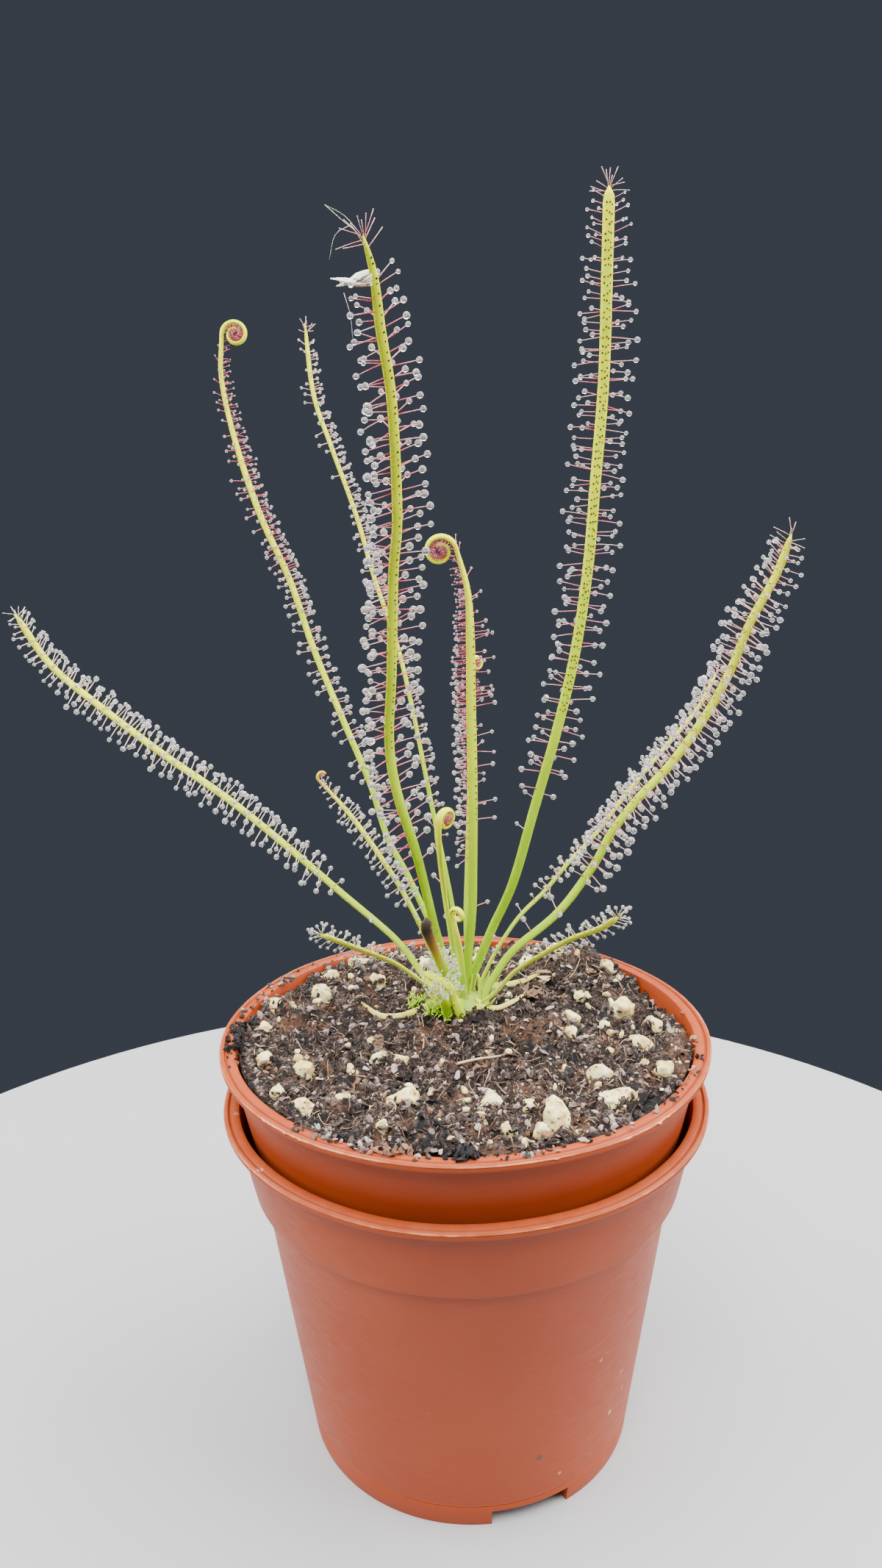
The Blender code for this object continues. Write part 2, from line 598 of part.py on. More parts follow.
def plant(lines):
    """The crown and all fronds, each frond with its hairs fused on."""
    draw = random.Random(SEED)
    taken = {frond.name: body_samples(frond, lines[frond.name][1]) for frond in FRONDS}
    crown = put(crown_solid(0.0), "crown")
    combine(crown, sockets(stem for stem, _ in lines.values()), "DIFFERENCE")
    dress(crown, CROWN_GREEN, 0.7)
    for frond in FRONDS:
        stem, line = lines[frond.name]
        body = put(tube(line, frond_radii(frond, stem, line), FROND_SIDES), frond.name)
        hairs = new_collection("hairs")
        for root, aim, length in hair_places(frond, stem, taken, draw):
            bm = hair_mesh(length, frond.drop)
            turn = aim.to_track_quat("Z", "Y").to_matrix()
            bmesh.ops.rotate(bm, verts=bm.verts, cent=(0, 0, 0), matrix=turn)
            bmesh.ops.translate(bm, vec=root, verts=bm.verts)
            put(bm, "hair", hairs)
        combine(body, hairs, "UNION")
        dress(body, GREEN, 0.4)


def withered():
    """Dead leaves that lie on the mix."""
    for name, route, width in WITHERED:
        points = [(x, y, soil_height(x, y) + width + WITHERED_LIFT) for x, y in route]
        line = smooth_line(points, 3.0)
        last = len(line) - 1
        radii = [width * (0.55 + 0.45 * math.sin(math.pi * number / last)) for number in range(last + 1)]
        dress(put(tube(line, radii, FROND_SIDES), name), STRAW, 0.7)


def main():
    remove_all()
    lines = {frond.name: frond_line(frond) for frond in FRONDS}
    pot("outer_pot", 0.0)
    pot("inner_pot", POT_LIFT)
    soil(stem for stem, _ in lines.values())
    plant(lines)
    withered()


main()
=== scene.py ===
import json
import random
from collections import namedtuple
from math import atan2, cos, exp, hypot, radians, sin, sqrt, tau

import bmesh
import bpy
from mathutils import Matrix, Vector, kdtree, noise

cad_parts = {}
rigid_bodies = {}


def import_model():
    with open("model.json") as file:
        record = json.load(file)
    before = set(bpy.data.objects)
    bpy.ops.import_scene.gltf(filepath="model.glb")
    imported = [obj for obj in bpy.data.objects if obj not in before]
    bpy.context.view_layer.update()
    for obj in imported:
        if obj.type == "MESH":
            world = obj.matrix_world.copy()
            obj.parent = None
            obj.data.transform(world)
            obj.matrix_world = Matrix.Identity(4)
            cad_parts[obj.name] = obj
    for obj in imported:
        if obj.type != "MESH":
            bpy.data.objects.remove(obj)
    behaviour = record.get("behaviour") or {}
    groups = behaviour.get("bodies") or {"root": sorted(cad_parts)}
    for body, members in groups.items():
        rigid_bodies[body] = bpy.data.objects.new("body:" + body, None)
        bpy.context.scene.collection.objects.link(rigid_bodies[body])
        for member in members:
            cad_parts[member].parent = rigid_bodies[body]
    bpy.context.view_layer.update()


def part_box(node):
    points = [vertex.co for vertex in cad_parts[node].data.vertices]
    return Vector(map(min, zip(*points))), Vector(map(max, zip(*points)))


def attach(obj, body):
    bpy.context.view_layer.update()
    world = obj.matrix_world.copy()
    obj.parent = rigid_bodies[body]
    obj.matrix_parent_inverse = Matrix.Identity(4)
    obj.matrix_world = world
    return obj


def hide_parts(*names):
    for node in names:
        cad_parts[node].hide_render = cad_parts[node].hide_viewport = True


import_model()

# A potted sundew. Lengths are in millimetres from the pots' common axis at floor level, front at -Y.
# place() and framed() turn them into metres in the frame. The materials and the stage are in metres.
MM = 0.001
pot_low, pot_high = (Vector(corner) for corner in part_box("outer_pot"))
AXIS = Vector(((pot_low.x + pot_high.x) / 2, (pot_low.y + pot_high.y) / 2, pot_low.z))

# Camera, fitted to the pots' rims
CAMERA_AT = (-3.4, -200.0, 182.6)
CAMERA_TILT = 15.03
CAMERA_ROLL = -1.17
CAMERA_LENS = 27.0
SENSOR = 36.0

# Stage, in metres: each soft box with its place from the plant's middle, size, power and colour
SOFT_BOXES = (
    ("right_box", (0.6, 0.0, 0.42), (0.8, 0.9), 19.0, (1, 1, 1)),
    ("left_box", (-0.62, 0.0, 0.36), (0.8, 0.9), 13.5, (0.95, 0.98, 1)),
    ("top_box", (0.0, 0.0, 0.65), (0.8, 0.6), 8.0, (1, 1, 1)),
    ("back_box", (0.1, 0.5, 0.66), (0.8, 0.35), 6.0, (1, 1, 1)),
    ("front_box", (-0.1, -0.5, 0.72), (0.4, 0.3), 10.0, (1, 1, 1)),
)
SURROUND = (0.045, 0.052, 0.068, 1)
FLOOR_RADIUS = 0.18

# Pots
RIM_RADIUS = 45.0
POT_HEIGHT = 70.0
POT_LIFT = 11.7
WALL = 1.2
BASE_RADIUS = 31.3
WALL_TOP_RADIUS = 38.6
COLLAR_FOOT_RADIUS = 40.3
COLLAR_TOP_RADIUS = 43.0
COLLAR_FOOT = 54.5
LIP_FOOT = 68.4
LIP_INNER_RADIUS = 42.2
FOOT_INNER_RADIUS = 29.8
FLOOR_UNDERSIDE = 1.8
FLOOR_TOP = 3.0
RING_LINE = 4.5
RING_DEPTH = 0.25
NOTCHES = 3
NOTCH_ANGLE = 27.0
NOTCH_HEIGHT = 3.2
NOTCH_REACH = 26.0
NOTCH_START = -71.0
POT_STEPS = 240
FLASH_STEPS = 900
CORNER_ROUND = 0.16
WAVE = 0.22

# Potting mix, and the low and high places on it: place, width and height
SOIL_LEVEL = 79.4
SOIL_EDGE = 41.5
EDGE_RISE = 1.4
EDGE_RISE_FROM = 22.0
EDGE_RISE_WIDTH = 16.0
SOIL_STEPS = 480
SOIL_RING_STEP = 0.46
HEAPS = ((36, 12, 9, -2.6), (24, 29, 7, 3.6), (-8, -36, 9, 1.2), (0, 13, 8, 0.8), (-32, 16, 9, -0.9))

# Crown and fronds
CROWN_AT = Vector((0.0, 13.0, 79.3))
CROWN_RADIUS = 6.0
CROWN_SQUASH = 0.62
SLOT_SPREAD = 1.25
GOLDEN_ANGLE = 137.5
SOCKET_DEPTH = 2.2
BLADE_SIDES = 12
BLADE_SPACING = 1.3
BLADE_FLATNESS = 0.62
COIL_RINGS_PER_TURN = 26

# Hairs, in rows along a frond: angle from its face, spacing, and length as a share of the longest
HAIR_ROWS = ((95, 1.3, 1.0), (-95, 1.3, 1.0), (72, 1.9, 0.8), (-72, 1.9, 0.8),
             (40, 2.8, 0.66), (-40, 2.8, 0.66), (0, 3.4, 0.6))
TIP_HAIRS = 11
TIP_FROM = 0.86
STALK_ROOT = 0.05
STALK_PER_DROP = 0.075
STALK_TIP = 0.055
SMALLEST_DROP = 0.2
COIL_HAIR_STEP = 0.26
# How red the stalks of a young coil are. It also tells them from other stalks, which pale towards the drop.
CRIMSON = 1.1

# A frond: its slot on the crown, its middle line, the side that carries its hairs, its half width in the
# middle and at the tip, the length of its tip hairs and of its longest ones, its drops' size, the share of
# its length without hairs, and its coil (radius, turns, side). Then how pale it is, how red its stalks, how
# crowded its hairs and how aged its tip, the share of its length below which hairs are sparse, and the
# length of its pointed tip.
Frond = namedtuple("Frond", "name slot line face middle tip short long drop bare coil "
                            "pale blush crowding aged dense point")
FRONDS = [Frond("frond_" + name, *values) for name, *values in (
    ("far_left", 17,
     ((-8.5, 13, 88), (-13, 12, 95), (-23, 9, 106), (-33, 6, 117), (-42, 4, 126), (-52, 1, 135),
      (-61, -2, 144), (-68, -5, 152), (-72, -8, 161)),
     (0.3, -0.5, 0.8), 0.75, 0.5, 2.0, 3.6, 1.0, 0.12, None, 0.3, 0.35, 1.05, 0.0, 0.36, 4.0),
    ("tall_left", 14,
     ((-5.5, 17, 94), (-10, 18, 105), (-14, 18, 113.5), (-17, 19, 124), (-22, 20, 137), (-27, 22, 150),
      (-31, 23, 163), (-36, 24, 175), (-40, 26, 188), (-42, 27, 199), (-41.6, 28, 207)),
     (0.8, -0.5, 0.2), 0.75, 0.55, 1.8, 3.0, 0.9, 0.15, (2.4, 1.3, (1, 0, 0)),
     0.1, 0.75, 0.85, 0.0, 0.32, 4.0),
    ("thin_left", 6,
     ((-1.3, 18, 96), (-3, 18.5, 107), (-5, 19, 118), (-6.4, 19.5, 126), (-8.5, 20.5, 138), (-11, 21, 150),
      (-15, 21.5, 163), (-18, 22, 174.5), (-22, 22.5, 186.5), (-25, 23.5, 196), (-26, 24, 208)),
     (0.8, -0.5, 0.2), 0.55, 0.4, 1.6, 2.6, 0.8, 0.2, None, 0.2, 0.7, 1.1, 0.0, 0.3, 7.0),
    ("front", 4,
     ((-3, 11, 89), (-5, 8, 98), (-8, 2, 115), (-11, -3, 128), (-12, -6, 138), (-11, -12, 151),
      (-10, -19, 167), (-9, -24, 176), (-9, -32, 191), (-10, -38, 200), (-10.5, -42, 206), (-11.5, -45, 210)),
     (-0.55, 0.75, 0.3), 0.9, 0.5, 3.0, 4.7, 1.25, 0.12, None, 0.0, 1.0, 0.72, 0.0, 0.26, 13.0),
    ("tall_right", 3,
     ((3, 14.5, 88), (6, 13.5, 96), (10, 12, 106), (14, 11, 121), (18, 10, 136), (21, 9, 150),
      (23, 8, 165), (24, 7, 180), (25, 6, 196), (25, 4, 212), (25, 3, 225)),
     (0, 0.9, 0.4), 0.9, 0.7, 2.6, 4.2, 1.0, 0.14, None, 0.0, 0.85, 0.72, 0.0, 0.33, 2.4),
    ("right_back", 8,
     ((4.6, 13.4, 87), (6.8, 12.5, 92), (11, 11.5, 99), (16, 11, 104.5), (20, 10, 110), (25, 9, 116),
      (29, 8, 122), (35, 6.5, 130.5), (41, 5, 138.5), (43, 4, 142), (45, 3, 147)),
     (-0.8, 0, 0.6), 0.65, 0.5, 1.8, 2.8, 0.85, 0.15, None, 0.4, 0.6, 0.95, 0.0, 0.34, 4.0),
    ("right", 13,
     ((6.3, 11.4, 87), (10, 10, 93), (18, 6, 102), (24, 3, 112), (27, 1, 119), (31, -2, 126),
      (36, -5, 133), (41, -8, 142), (44, -11, 150), (46, -14, 158), (49, -17, 166), (50, -20, 172)),
     (-0.3, -0.7, 0.6), 0.8, 0.5, 2.4, 3.8, 1.1, 0.14, None, 0.1, 0.7, 1.1, 0.0, 0.36, 5.0),
    ("centre", 0,
     ((1.2, 11.4, 91.4), (2, 10.4, 101), (2.2, 9.6, 110), (2.4, 8.8, 124), (2.3, 8, 141), (2.3, 7.2, 153.5),
      (1.9, 6.4, 162), (-0.1, 5, 169.6)),
     (-0.5, 0.85, 0.1), 1.0, 0.55, 2.2, 3.2, 0.85, 0.22, (2.8, 1.3, (-1, 0, 0)),
     0.0, 1.1, 1.15, 0.0, 0.36, 4.0),
    ("centre_back", 11,
     ((0.9, 18, 95), (1.3, 18.5, 107), (1.9, 19, 121), (2.2, 20, 133), (2.4, 20.6, 141), (2.6, 21, 146.6)),
     (-0.9, -0.4, 0), 0.55, 0.6, 1.6, 2.4, 0.8, 0.25, (1.45, 1.0, (0.8, 0.6, 0)),
     0.25, 0.9, 0.7, 0.0, 0.5, 4.0),
    ("short_coiled", 1,
     ((-2, 11, 95), (-3, 8, 104), (-3.7, 5, 111.5), (-4.1, 2.2, 117.6), (-4.1, 1.3, 121.2)),
     (0.9, 0.4, 0), 0.85, 0.6, 1.8, 2.8, 1.0, 0.4, (2.1, 1.5, (0.66, 0.75, 0)),
     0.1, 0.9, 0.22, 0.0, 0.42, 4.0),
    ("short_left", 9,
     ((-7, 13.5, 94.5), (-11, 12.5, 104), (-16, 12, 113), (-21, 11, 121), (-26, 10, 127.5)),
     (0.5, -0.6, 0.6), 0.55, 0.4, 1.6, 2.6, 0.8, 0.2, (1.2, 0.5, (0.3, 0, 0.95)),
     0.3, 0.35, 1.0, 0.3, 0.42, 4.0),
    ("small_right", 18,
     ((6, 8.5, 84.5), (10, 7.5, 89.5), (15, 5, 94), (20, 2.5, 98), (25, 0, 101), (28, -2, 104)),
     (0, 0.85, 0.5), 0.6, 0.5, 2.2, 2.8, 0.85, 0.32, None, 0.6, 0.1, 0.95, 0.0, 0.5, 1.6),
    ("small_left", 12,
     ((-8, 9.5, 87), (-13, 7, 92), (-20, 3, 97), (-26, 0, 101)),
     (0, 0.85, 0.5), 0.6, 0.45, 2.0, 2.5, 0.8, 0.38, None, 0.8, 0.1, 0.95, 0.0, 0.5, 1.6),
    ("withered_tip", 7,
     ((-3.2, 6.5, 89.5), (-4.8, 0, 96.6), (-5.9, -4, 101.4), (-6.5, -6.6, 104.2), (-6.4, -7.6, 106.9)),
     (-0.2, 0.75, 0.1), 0.85, 0.75, 1.5, 2.0, 0.8, 0.06, None, 0.1, 0.05, 1.1, 1.0, 0.1, 0.5),
    ("lowest", 15,
     ((-1.7, 5.2, 84.5), (-2.5, 3.4, 88.2), (-4.9, 1.6, 91), (-7.6, 0, 93)),
     (0.3, -0.7, 0.6), 1.0, 0.5, 1.4, 2.0, 0.75, 0.46, None, 0.0, 0.05, 1.6, 0.0, 0.36, 2.0),
    ("bud", 2,
     ((-0.4, 8.5, 93), (-1.2, 6.8, 98), (-2.0, 6.2, 102.0)),
     (0, -1, 0), 0.6, 0.45, 0.0, 0.0, 0.8, 0.5, (1.5, 1.6, (0.8, -0.6, 0)),
     0.2, 0.3, 0.0, 0.0, 1.0, 4.0),
)]

# Where the rows with a negative angle differ: the share of hairs kept, and their length against the rest
THIN_SIDES = {"frond_centre": (0.5, 1.25), "frond_thin_left": (0.35, 1.0),
              "frond_tall_left": (0.7, 1.0), "frond_short_coiled": (0.3, 1.0)}
# Fronds with small crowded hairs below a young coil, and the share of the length at which hairs end
YOUNG = "frond_centre", "frond_centre_back", "frond_tall_left"
HAIR_END = {"frond_withered_tip": 0.6}
# Half width near the tip of the fronds that broaden towards it, and the half width at their foot
CLUBBED = {"frond_small_right": 0.8, "frond_small_left": 0.7}
CLUB_FOOT = 0.45
# Rows of pores on a blade's back, as shares of its half width, and the share of the length they start at
PORES = {"frond_tall_right": (-0.45, 0.1, 0.5), "frond_front": (0.25,), "frond_centre": (0.45,)}
PORES_FROM = 0.42
# Web threads, from the front frond's tip
WEB = (((-0.3, 0, 0.2), (-2.2, 0, 2.3), (-4.5, 0.4, 3.6)),
       ((-4.5, 0.4, 3.6), (-2.6, 0, 1.9), (-0.6, 0, 0.3)),
       ((-1.6, 0.2, 1.2), (-3.4, 0.2, 0.2), (-4.2, 0, -2.6)),
       ((-2.6, 0, -6.4), (-1.9, 0, -9.0), (-1.7, 0, -12.0)))

# Withered leaves with their half width and route over the mix, and the two leaf feet before the crown
WITHERED = (
    ("withered_leaf_left", 0.7,
     ((-5.2, 11.6), (-7.4, 10.5), (-10.5, 8.6), (-14, 7.6), (-17, 9.5), (-21, 16))),
    ("withered_leaf_right", 0.6,
     ((2.2, 7.4), (3.6, 7.9), (6.6, 9.6), (9.2, 11.6), (11.6, 14.8), (13.5, 19))),
    ("withered_leaf_back", 0.75, ((5.2, 19.2), (8.5, 20.8), (12.5, 21.6), (17.5, 23))),
)
WITHERED_LIFT = 0.35
FRONT_FEET = (((0.3, 6.6, 79.0), (-0.4, 5.4, 81.6), (-1.9, 4.4, 86.0), (-3.3, 3.9, 89.4)),
              ((-2.6, 7.4, 79.6), (-3.2, 6.3, 82.4), (-4.4, 5.6, 86.2), (-5.6, 5.4, 88.8)))

# What lies on the mix: dry scraps (place, number, tone), pumice grains (place, size), crumbs spilled over the
# lip (direction, spread, number), moss (place, stems, leaf length) and a straw
SCRAPS = ((13.8, 17.0, 14, 0.62), (16.5, 20.5, 8, 0.95), (-6.5, 15.5, 6, 0.5), (7.5, -9.5, 8, 0.6),
          (-15.5, -2.0, 7, 0.5))
PUMICE = (
    (-29, 29, 3.1), (-36, 14, 3.8), (-28, 18, 4.4), (-37, 3, 3.1), (-28, -14, 4.0), (-32, -21, 2.4),
    (-27, -27, 3.6), (-21, -24, 2.5), (-11, -22, 3.8), (-14, -34, 2.6), (-16, -7, 2.4), (-11, -8, 2.5),
    (-4, -10, 2.2), (4, -25, 4.5), (10, -25, 2.4), (14, -31, 5.0), (11, -36, 2.5), (6, -35, 2.4),
    (23, -17, 4.0), (20, 1, 2.8), (25, -25, 4.6), (36, 3, 4.1), (32, -5, 3.6), (31, 12, 4.8),
    (27, 5, 2.6), (21, 8, 3.1), (24, 16, 2.8), (20, 30, 3.1), (30, 24, 3.5), (14, 30, 2.8),
    (-7, 31, 3.2), (3, 36, 2.6), (-17, 25, 2.8), (-22, 34, 3.0), (-36, -9, 2.6), (34, -16, 3.0),
)
SMALL_GRAINS = 190
CHIPS = 6000
FIBRES = 2400
LUMP_CHIPS = 60
LUMP_AT = Vector((-1.0, -42.2, POT_HEIGHT + POT_LIFT + 0.1))
SPILLS = ((-112, 9, 110), (-176, 5, 80), (-80, 14, 60), (-28, 16, 40), (150, 12, 40))
MOSS_TUFTS = ((-8.8, 13.6, 9, 2.0), (-9.6, 16.4, 5, 1.6), (-5.6, 8.4, 6, 3.2), (-3.4, 6.9, 4, 2.6))
STRAW = (-1.8, -11.4), (2.0, -10.3), (6.0, -8.9), (9.0, -7.6)

UP = Vector((0, 0, 1))


def place(x, y, z):
    """A point in millimetres from the pots' axis, in metres in the frame."""
    return AXIS + Vector((x, y, z)) * MM


class Look:
    """A material whose nodes are added one by one; most methods give an output to pass on."""

    def __init__(self, name):
        self.made = bpy.data.materials.new(name)
        self.made.use_nodes = True
        self.tree = self.made.node_tree
        self.sockets = self.tree.nodes["Principled BSDF"].inputs

    def feed(self, socket, value):
        """Link an output to a socket, or set the socket's own value."""
        if isinstance(value, bpy.types.NodeSocket):
            self.tree.links.new(value, socket)
        else:
            socket.default_value = (*value, 1) if socket.type == "RGBA" else value

    def node(self, kind, values, **settings):
        added = self.tree.nodes.new("ShaderNode" + kind)
        for key, value in settings.items():
            setattr(added, key, value)
        for key, value in values.items():
            self.feed(added.inputs[key], value)
        return added

    def mark(self, name):
        """A number that the mesh carries at its vertices."""
        return self.node("Attribute", {}, attribute_name=name).outputs["Fac"]

    def here(self):
        return self.node("TexCoord", {}).outputs["Object"]

    def grain(self, scale, detail=3.0, roughness=0.5, stretch=None):
        """Noise in the object's own space, or stretched there by three scales."""
        at = self.here()
        if stretch:
            at = self.node("Mapping", {"Vector": at, "Scale": stretch}).outputs["Vector"]
        values = {"Vector": at, "Scale": scale, "Detail": detail, "Roughness": roughness}
        return self.node("TexNoise", values).outputs["Fac"]

    def specks(self, scale, *stops):
        """Round specks: a ramp over the distance from the middles of cells."""
        cells = self.node("TexVoronoi", {"Vector": self.here(), "Scale": scale, "Randomness": 1.0})
        return self.ramp(cells.outputs["Distance"], *stops)

    def ramp(self, factor, *stops):
        """A colour ramp: each stop is a place and a colour, or a place and a grey value."""
        added = self.node("ValToRGB", {"Fac": factor})
        band = added.color_ramp
        while len(band.elements) < len(stops):
            band.elements.new(0.5)
        for element, (at, colour) in zip(band.elements, stops):
            element.position = at
            element.color = (*colour, 1) if isinstance(colour, tuple) else (colour, colour, colour, 1)
        return added.outputs["Color"]

    def along(self, *stops):
        """Colours from a strap's foot to its tip."""
        return self.ramp(self.mark("along"), *stops)

    def sums(self, operation, first, second):
        return self.node("Math", {0: first, 1: second}, operation=operation).outputs[0]

    def over(self, base, colour, factor, *stops):
        """A colour over a base colour, by a factor that goes through a ramp where stops are given."""
        if stops:
            factor = self.ramp(factor, *stops)
        return self.node("Mix", {0: factor, 6: base, 7: colour}, data_type="RGBA").outputs[2]

    def finish(self, colour, roughness, relief=(), gloss=None, flesh=()):
        """The finished material. Relief is a height, strength and distance in metres, gloss the shader's
        specular level, and flesh the weight, scale in metres and radius of the light under its skin."""
        self.feed(self.sockets["Base Color"], colour)
        self.feed(self.sockets["Roughness"], roughness)
        if relief:
            bump = self.node("Bump", dict(zip(("Height", "Strength", "Distance"), relief)))
            self.feed(self.sockets["Normal"], bump.outputs["Normal"])
        if gloss is not None:
            self.feed(self.sockets["Specular IOR Level"], gloss)
        for name, value in zip(("Weight", "Scale", "Radius"), flesh):
            self.feed(self.sockets["Subsurface " + name], value)
        return self.made


def frond_green():
    """Living frond: pale foot, lime middle, yellower tip, fine lengthwise streaks, aged ends brown."""
    look = Look("frond_green")
    streaks = look.grain(1.0, 4.0, 0.6, (2600, 2600, 160))
    mottle = look.grain(240.0)
    green = look.along((0.0, (0.56, 0.68, 0.06)), (0.05, (0.37, 0.60, 0.001)), (0.22, (0.32, 0.58, 0.0002)),
                       (0.6, (0.67, 0.77, 0.0002)), (1.0, (0.80, 0.84, 0.0005)))
    green = look.over(green, (0.70, 0.84, 0.001), streaks, (0.4, 0.0), (0.75, 0.4))
    green = look.over(green, (0.24, 0.46, 0.0002), mottle, (0.4, 0.0), (0.8, 0.35))
    green = look.over(green, (0.82, 0.88, 0.10), look.mark("pale"))
    old = look.ramp(look.mark("aged"), (0.0, (0.5, 0.42, 0.05)), (0.4, (0.52, 0.28, 0.05)),
                    (0.62, (0.20, 0.11, 0.045)), (0.8, (0.075, 0.055, 0.04)))
    green = look.over(green, old, look.mark("aged"), (0.05, 0.0), (0.35, 1.0))
    green = look.over(green, (0.07, 0.045, 0.012), look.mark("spot"))
    sheen = look.ramp(mottle, (0.3, 0.30), (0.8, 0.48))
    return look.finish(green, sheen, (streaks, 0.25, 0.0002), 0.07, (0.1, 0.0012, (0.6, 1.0, 0.2)))


def hair_red():
    """Stalk and gland: greenish at the root, crimson in the middle, paler under the drop."""
    look = Look("hair_red")
    red = look.along((0.0, (0.50, 0.36, 0.06)), (0.12, (0.42, 0.02, 0.045)), (0.42, (0.52, 0.06, 0.12)),
                     (0.8, (0.78, 0.42, 0.48)), (1.0, (0.30, 0.01, 0.025)))
    clear = look.along((0.0, (0.55, 0.60, 0.16)), (0.5, (0.72, 0.74, 0.60)), (1.0, (0.60, 0.50, 0.40)))
    patches = look.grain(700.0, 2.0)
    colour = look.over(clear, red, look.mark("blush"))
    colour = look.over(colour, (0.85, 0.60, 0.62), patches, (0.4, 0.0), (0.7, 0.3))
    return look.finish(colour, look.ramp(patches, (0.2, 0.25), (0.8, 0.4)),
                       flesh=(0.3, 0.0005, (1.0, 0.4, 0.4)))


def dew():
    """Sticky drop: clear, but milky white all over, a painted brightness standing in for its glints."""
    look = Look("dew")
    painted_glint_white = look.ramp(look.grain(900.0, 1.0), (0.3, (0.97, 0.98, 1.0)), (0.7, (1.0, 0.98, 0.97)))
    look.feed(look.sockets["IOR"], 1.36)
    # Transmission short of full lets the white base colour show over the whole drop: a painted highlight.
    look.feed(look.sockets["Transmission Weight"], 0.84)
    return look.finish(painted_glint_white, 0.015, gloss=0.7)


def pot_plastic():
    """Moulded terracotta-coloured plastic: soft mottling, fine scuffs, specks of lime, worn pale lip edges,
    and a painted highlight along the ring groove.
    """
    look = Look("pot_plastic")
    colour = look.ramp(look.grain(38.0, 4.0), (0.25, (0.27, 0.034, 0.0045)), (0.5, (0.30, 0.041, 0.006)),
                       (0.8, (0.33, 0.051, 0.009)))
    scuffs = look.grain(1.0, 5.0, 0.7, (260, 260, 1500))
    colour = look.over(colour, (0.36, 0.13, 0.06), scuffs, (0.62, 0.0), (0.78, 0.25))
    lime_places = look.ramp(look.grain(26.0, 2.0), (0.58, 0.0), (0.63, 1.0))
    lime = look.sums("MULTIPLY", look.specks(190.0, (0.07, 1.0), (0.12, 0.0)), lime_places)
    colour = look.over(colour, (0.50, 0.36, 0.28), lime)
    dirt_places = look.ramp(look.grain(19.0, 2.0), (0.58, 0.0), (0.62, 1.0))
    dirt = look.sums("MULTIPLY", look.specks(120.0, (0.05, 1.0), (0.09, 0.0)), dirt_places)
    colour = look.over(colour, (0.10, 0.05, 0.03), dirt)
    # Pale edges, broken up by noise: wear on the lip, and a painted highlight along the ring groove's step.
    pale_edge_breakup = look.ramp(look.grain(420.0, 4.0), (0.3, 0.25), (0.7, 1.0))
    colour = look.over(colour, (0.66, 0.27, 0.12), look.sums("MULTIPLY", look.mark("edge"), pale_edge_breakup))
    fine = look.sums("ADD", look.sums("MULTIPLY", look.grain(1400.0, 2.0), 0.4), lime)
    return look.finish(colour, look.ramp(scuffs, (0.3, 0.42), (0.75, 0.6)), (fine, 0.12, 0.0001), 0.25,
                       (0.08, 0.001, (1.0, 0.4, 0.2)))


def mix_ground():
    """The potting mix's ground: fibrous, grey-brown on black, with charred clumps and rusty bark, painted
    shade in its creases and hollows, and partly painted highlight on its tops.
    """
    look = Look("mix_ground")
    threads = look.grain(1.0, 4.0, 0.75, (1500, 3600, 2400))
    level = look.sums("ADD", look.sums("MULTIPLY", look.grain(480.0, 5.0, 0.7), 0.5),
                      look.sums("MULTIPLY", threads, 0.5))
    # Near black where the relief sinks, pale grey-lilac where it rises: the mix's own tones, with painted
    # shade in the hollows and painted highlight on the tops.
    colour = look.ramp(level, (0.40, (0.003, 0.002, 0.002)), (0.5, (0.022, 0.012, 0.009)),
                       (0.57, (0.14, 0.095, 0.075)), (0.68, (0.50, 0.41, 0.37)))
    # Painted shade: where the surface lies below its smooth level, its creases are painted near black.
    colour = look.over(colour, (0.006, 0.004, 0.003), look.mark("raised"), (0.2, 0.85), (0.55, 0.0))
    bark = look.over((0.008, 0.003, 0.002), (0.34, 0.15, 0.075), threads)
    colour = look.over(colour, bark, look.grain(110.0), (0.56, 0.0), (0.66, 0.5))
    colour = look.over(colour, (0.006, 0.007, 0.009), look.grain(130.0, 2.0), (0.6, 0.0), (0.66, 0.85))
    return look.finish(colour, look.ramp(threads, (0.4, 0.85), (0.62, 0.45)), (level, 1.0, 0.0008), 0.25)


def mix_chips():
    """Crumbs and flakes of peat and bark, each with a tone of its own."""
    look = Look("mix_chips")
    tone = look.mark("tone")
    colour = look.ramp(tone, (0.0, (0.003, 0.003, 0.004)), (0.2, (0.007, 0.006, 0.006)),
                       (0.3, (0.022, 0.013, 0.010)), (0.55, (0.10, 0.066, 0.053)), (0.82, (0.46, 0.37, 0.33)),
                       (0.9, (0.10, 0.038, 0.018)), (1.0, (0.30, 0.14, 0.065)))
    flecks = look.grain(2200.0, 4.0, 0.7)
    # Pale grey-lilac flecks where the chips' relief rises: partly the peat's own colour, partly painted
    # highlight.
    pale = look.sums("MULTIPLY", look.ramp(flecks, (0.54, 0.0), (0.7, 0.5)),
                     look.ramp(tone, (0.15, 0.15), (0.35, 1.0)))
    colour = look.over(colour, (0.48, 0.40, 0.37), pale)
    return look.finish(colour, look.ramp(flecks, (0.35, 0.75), (0.7, 0.35)), (flecks, 0.7, 0.0002), 0.25)


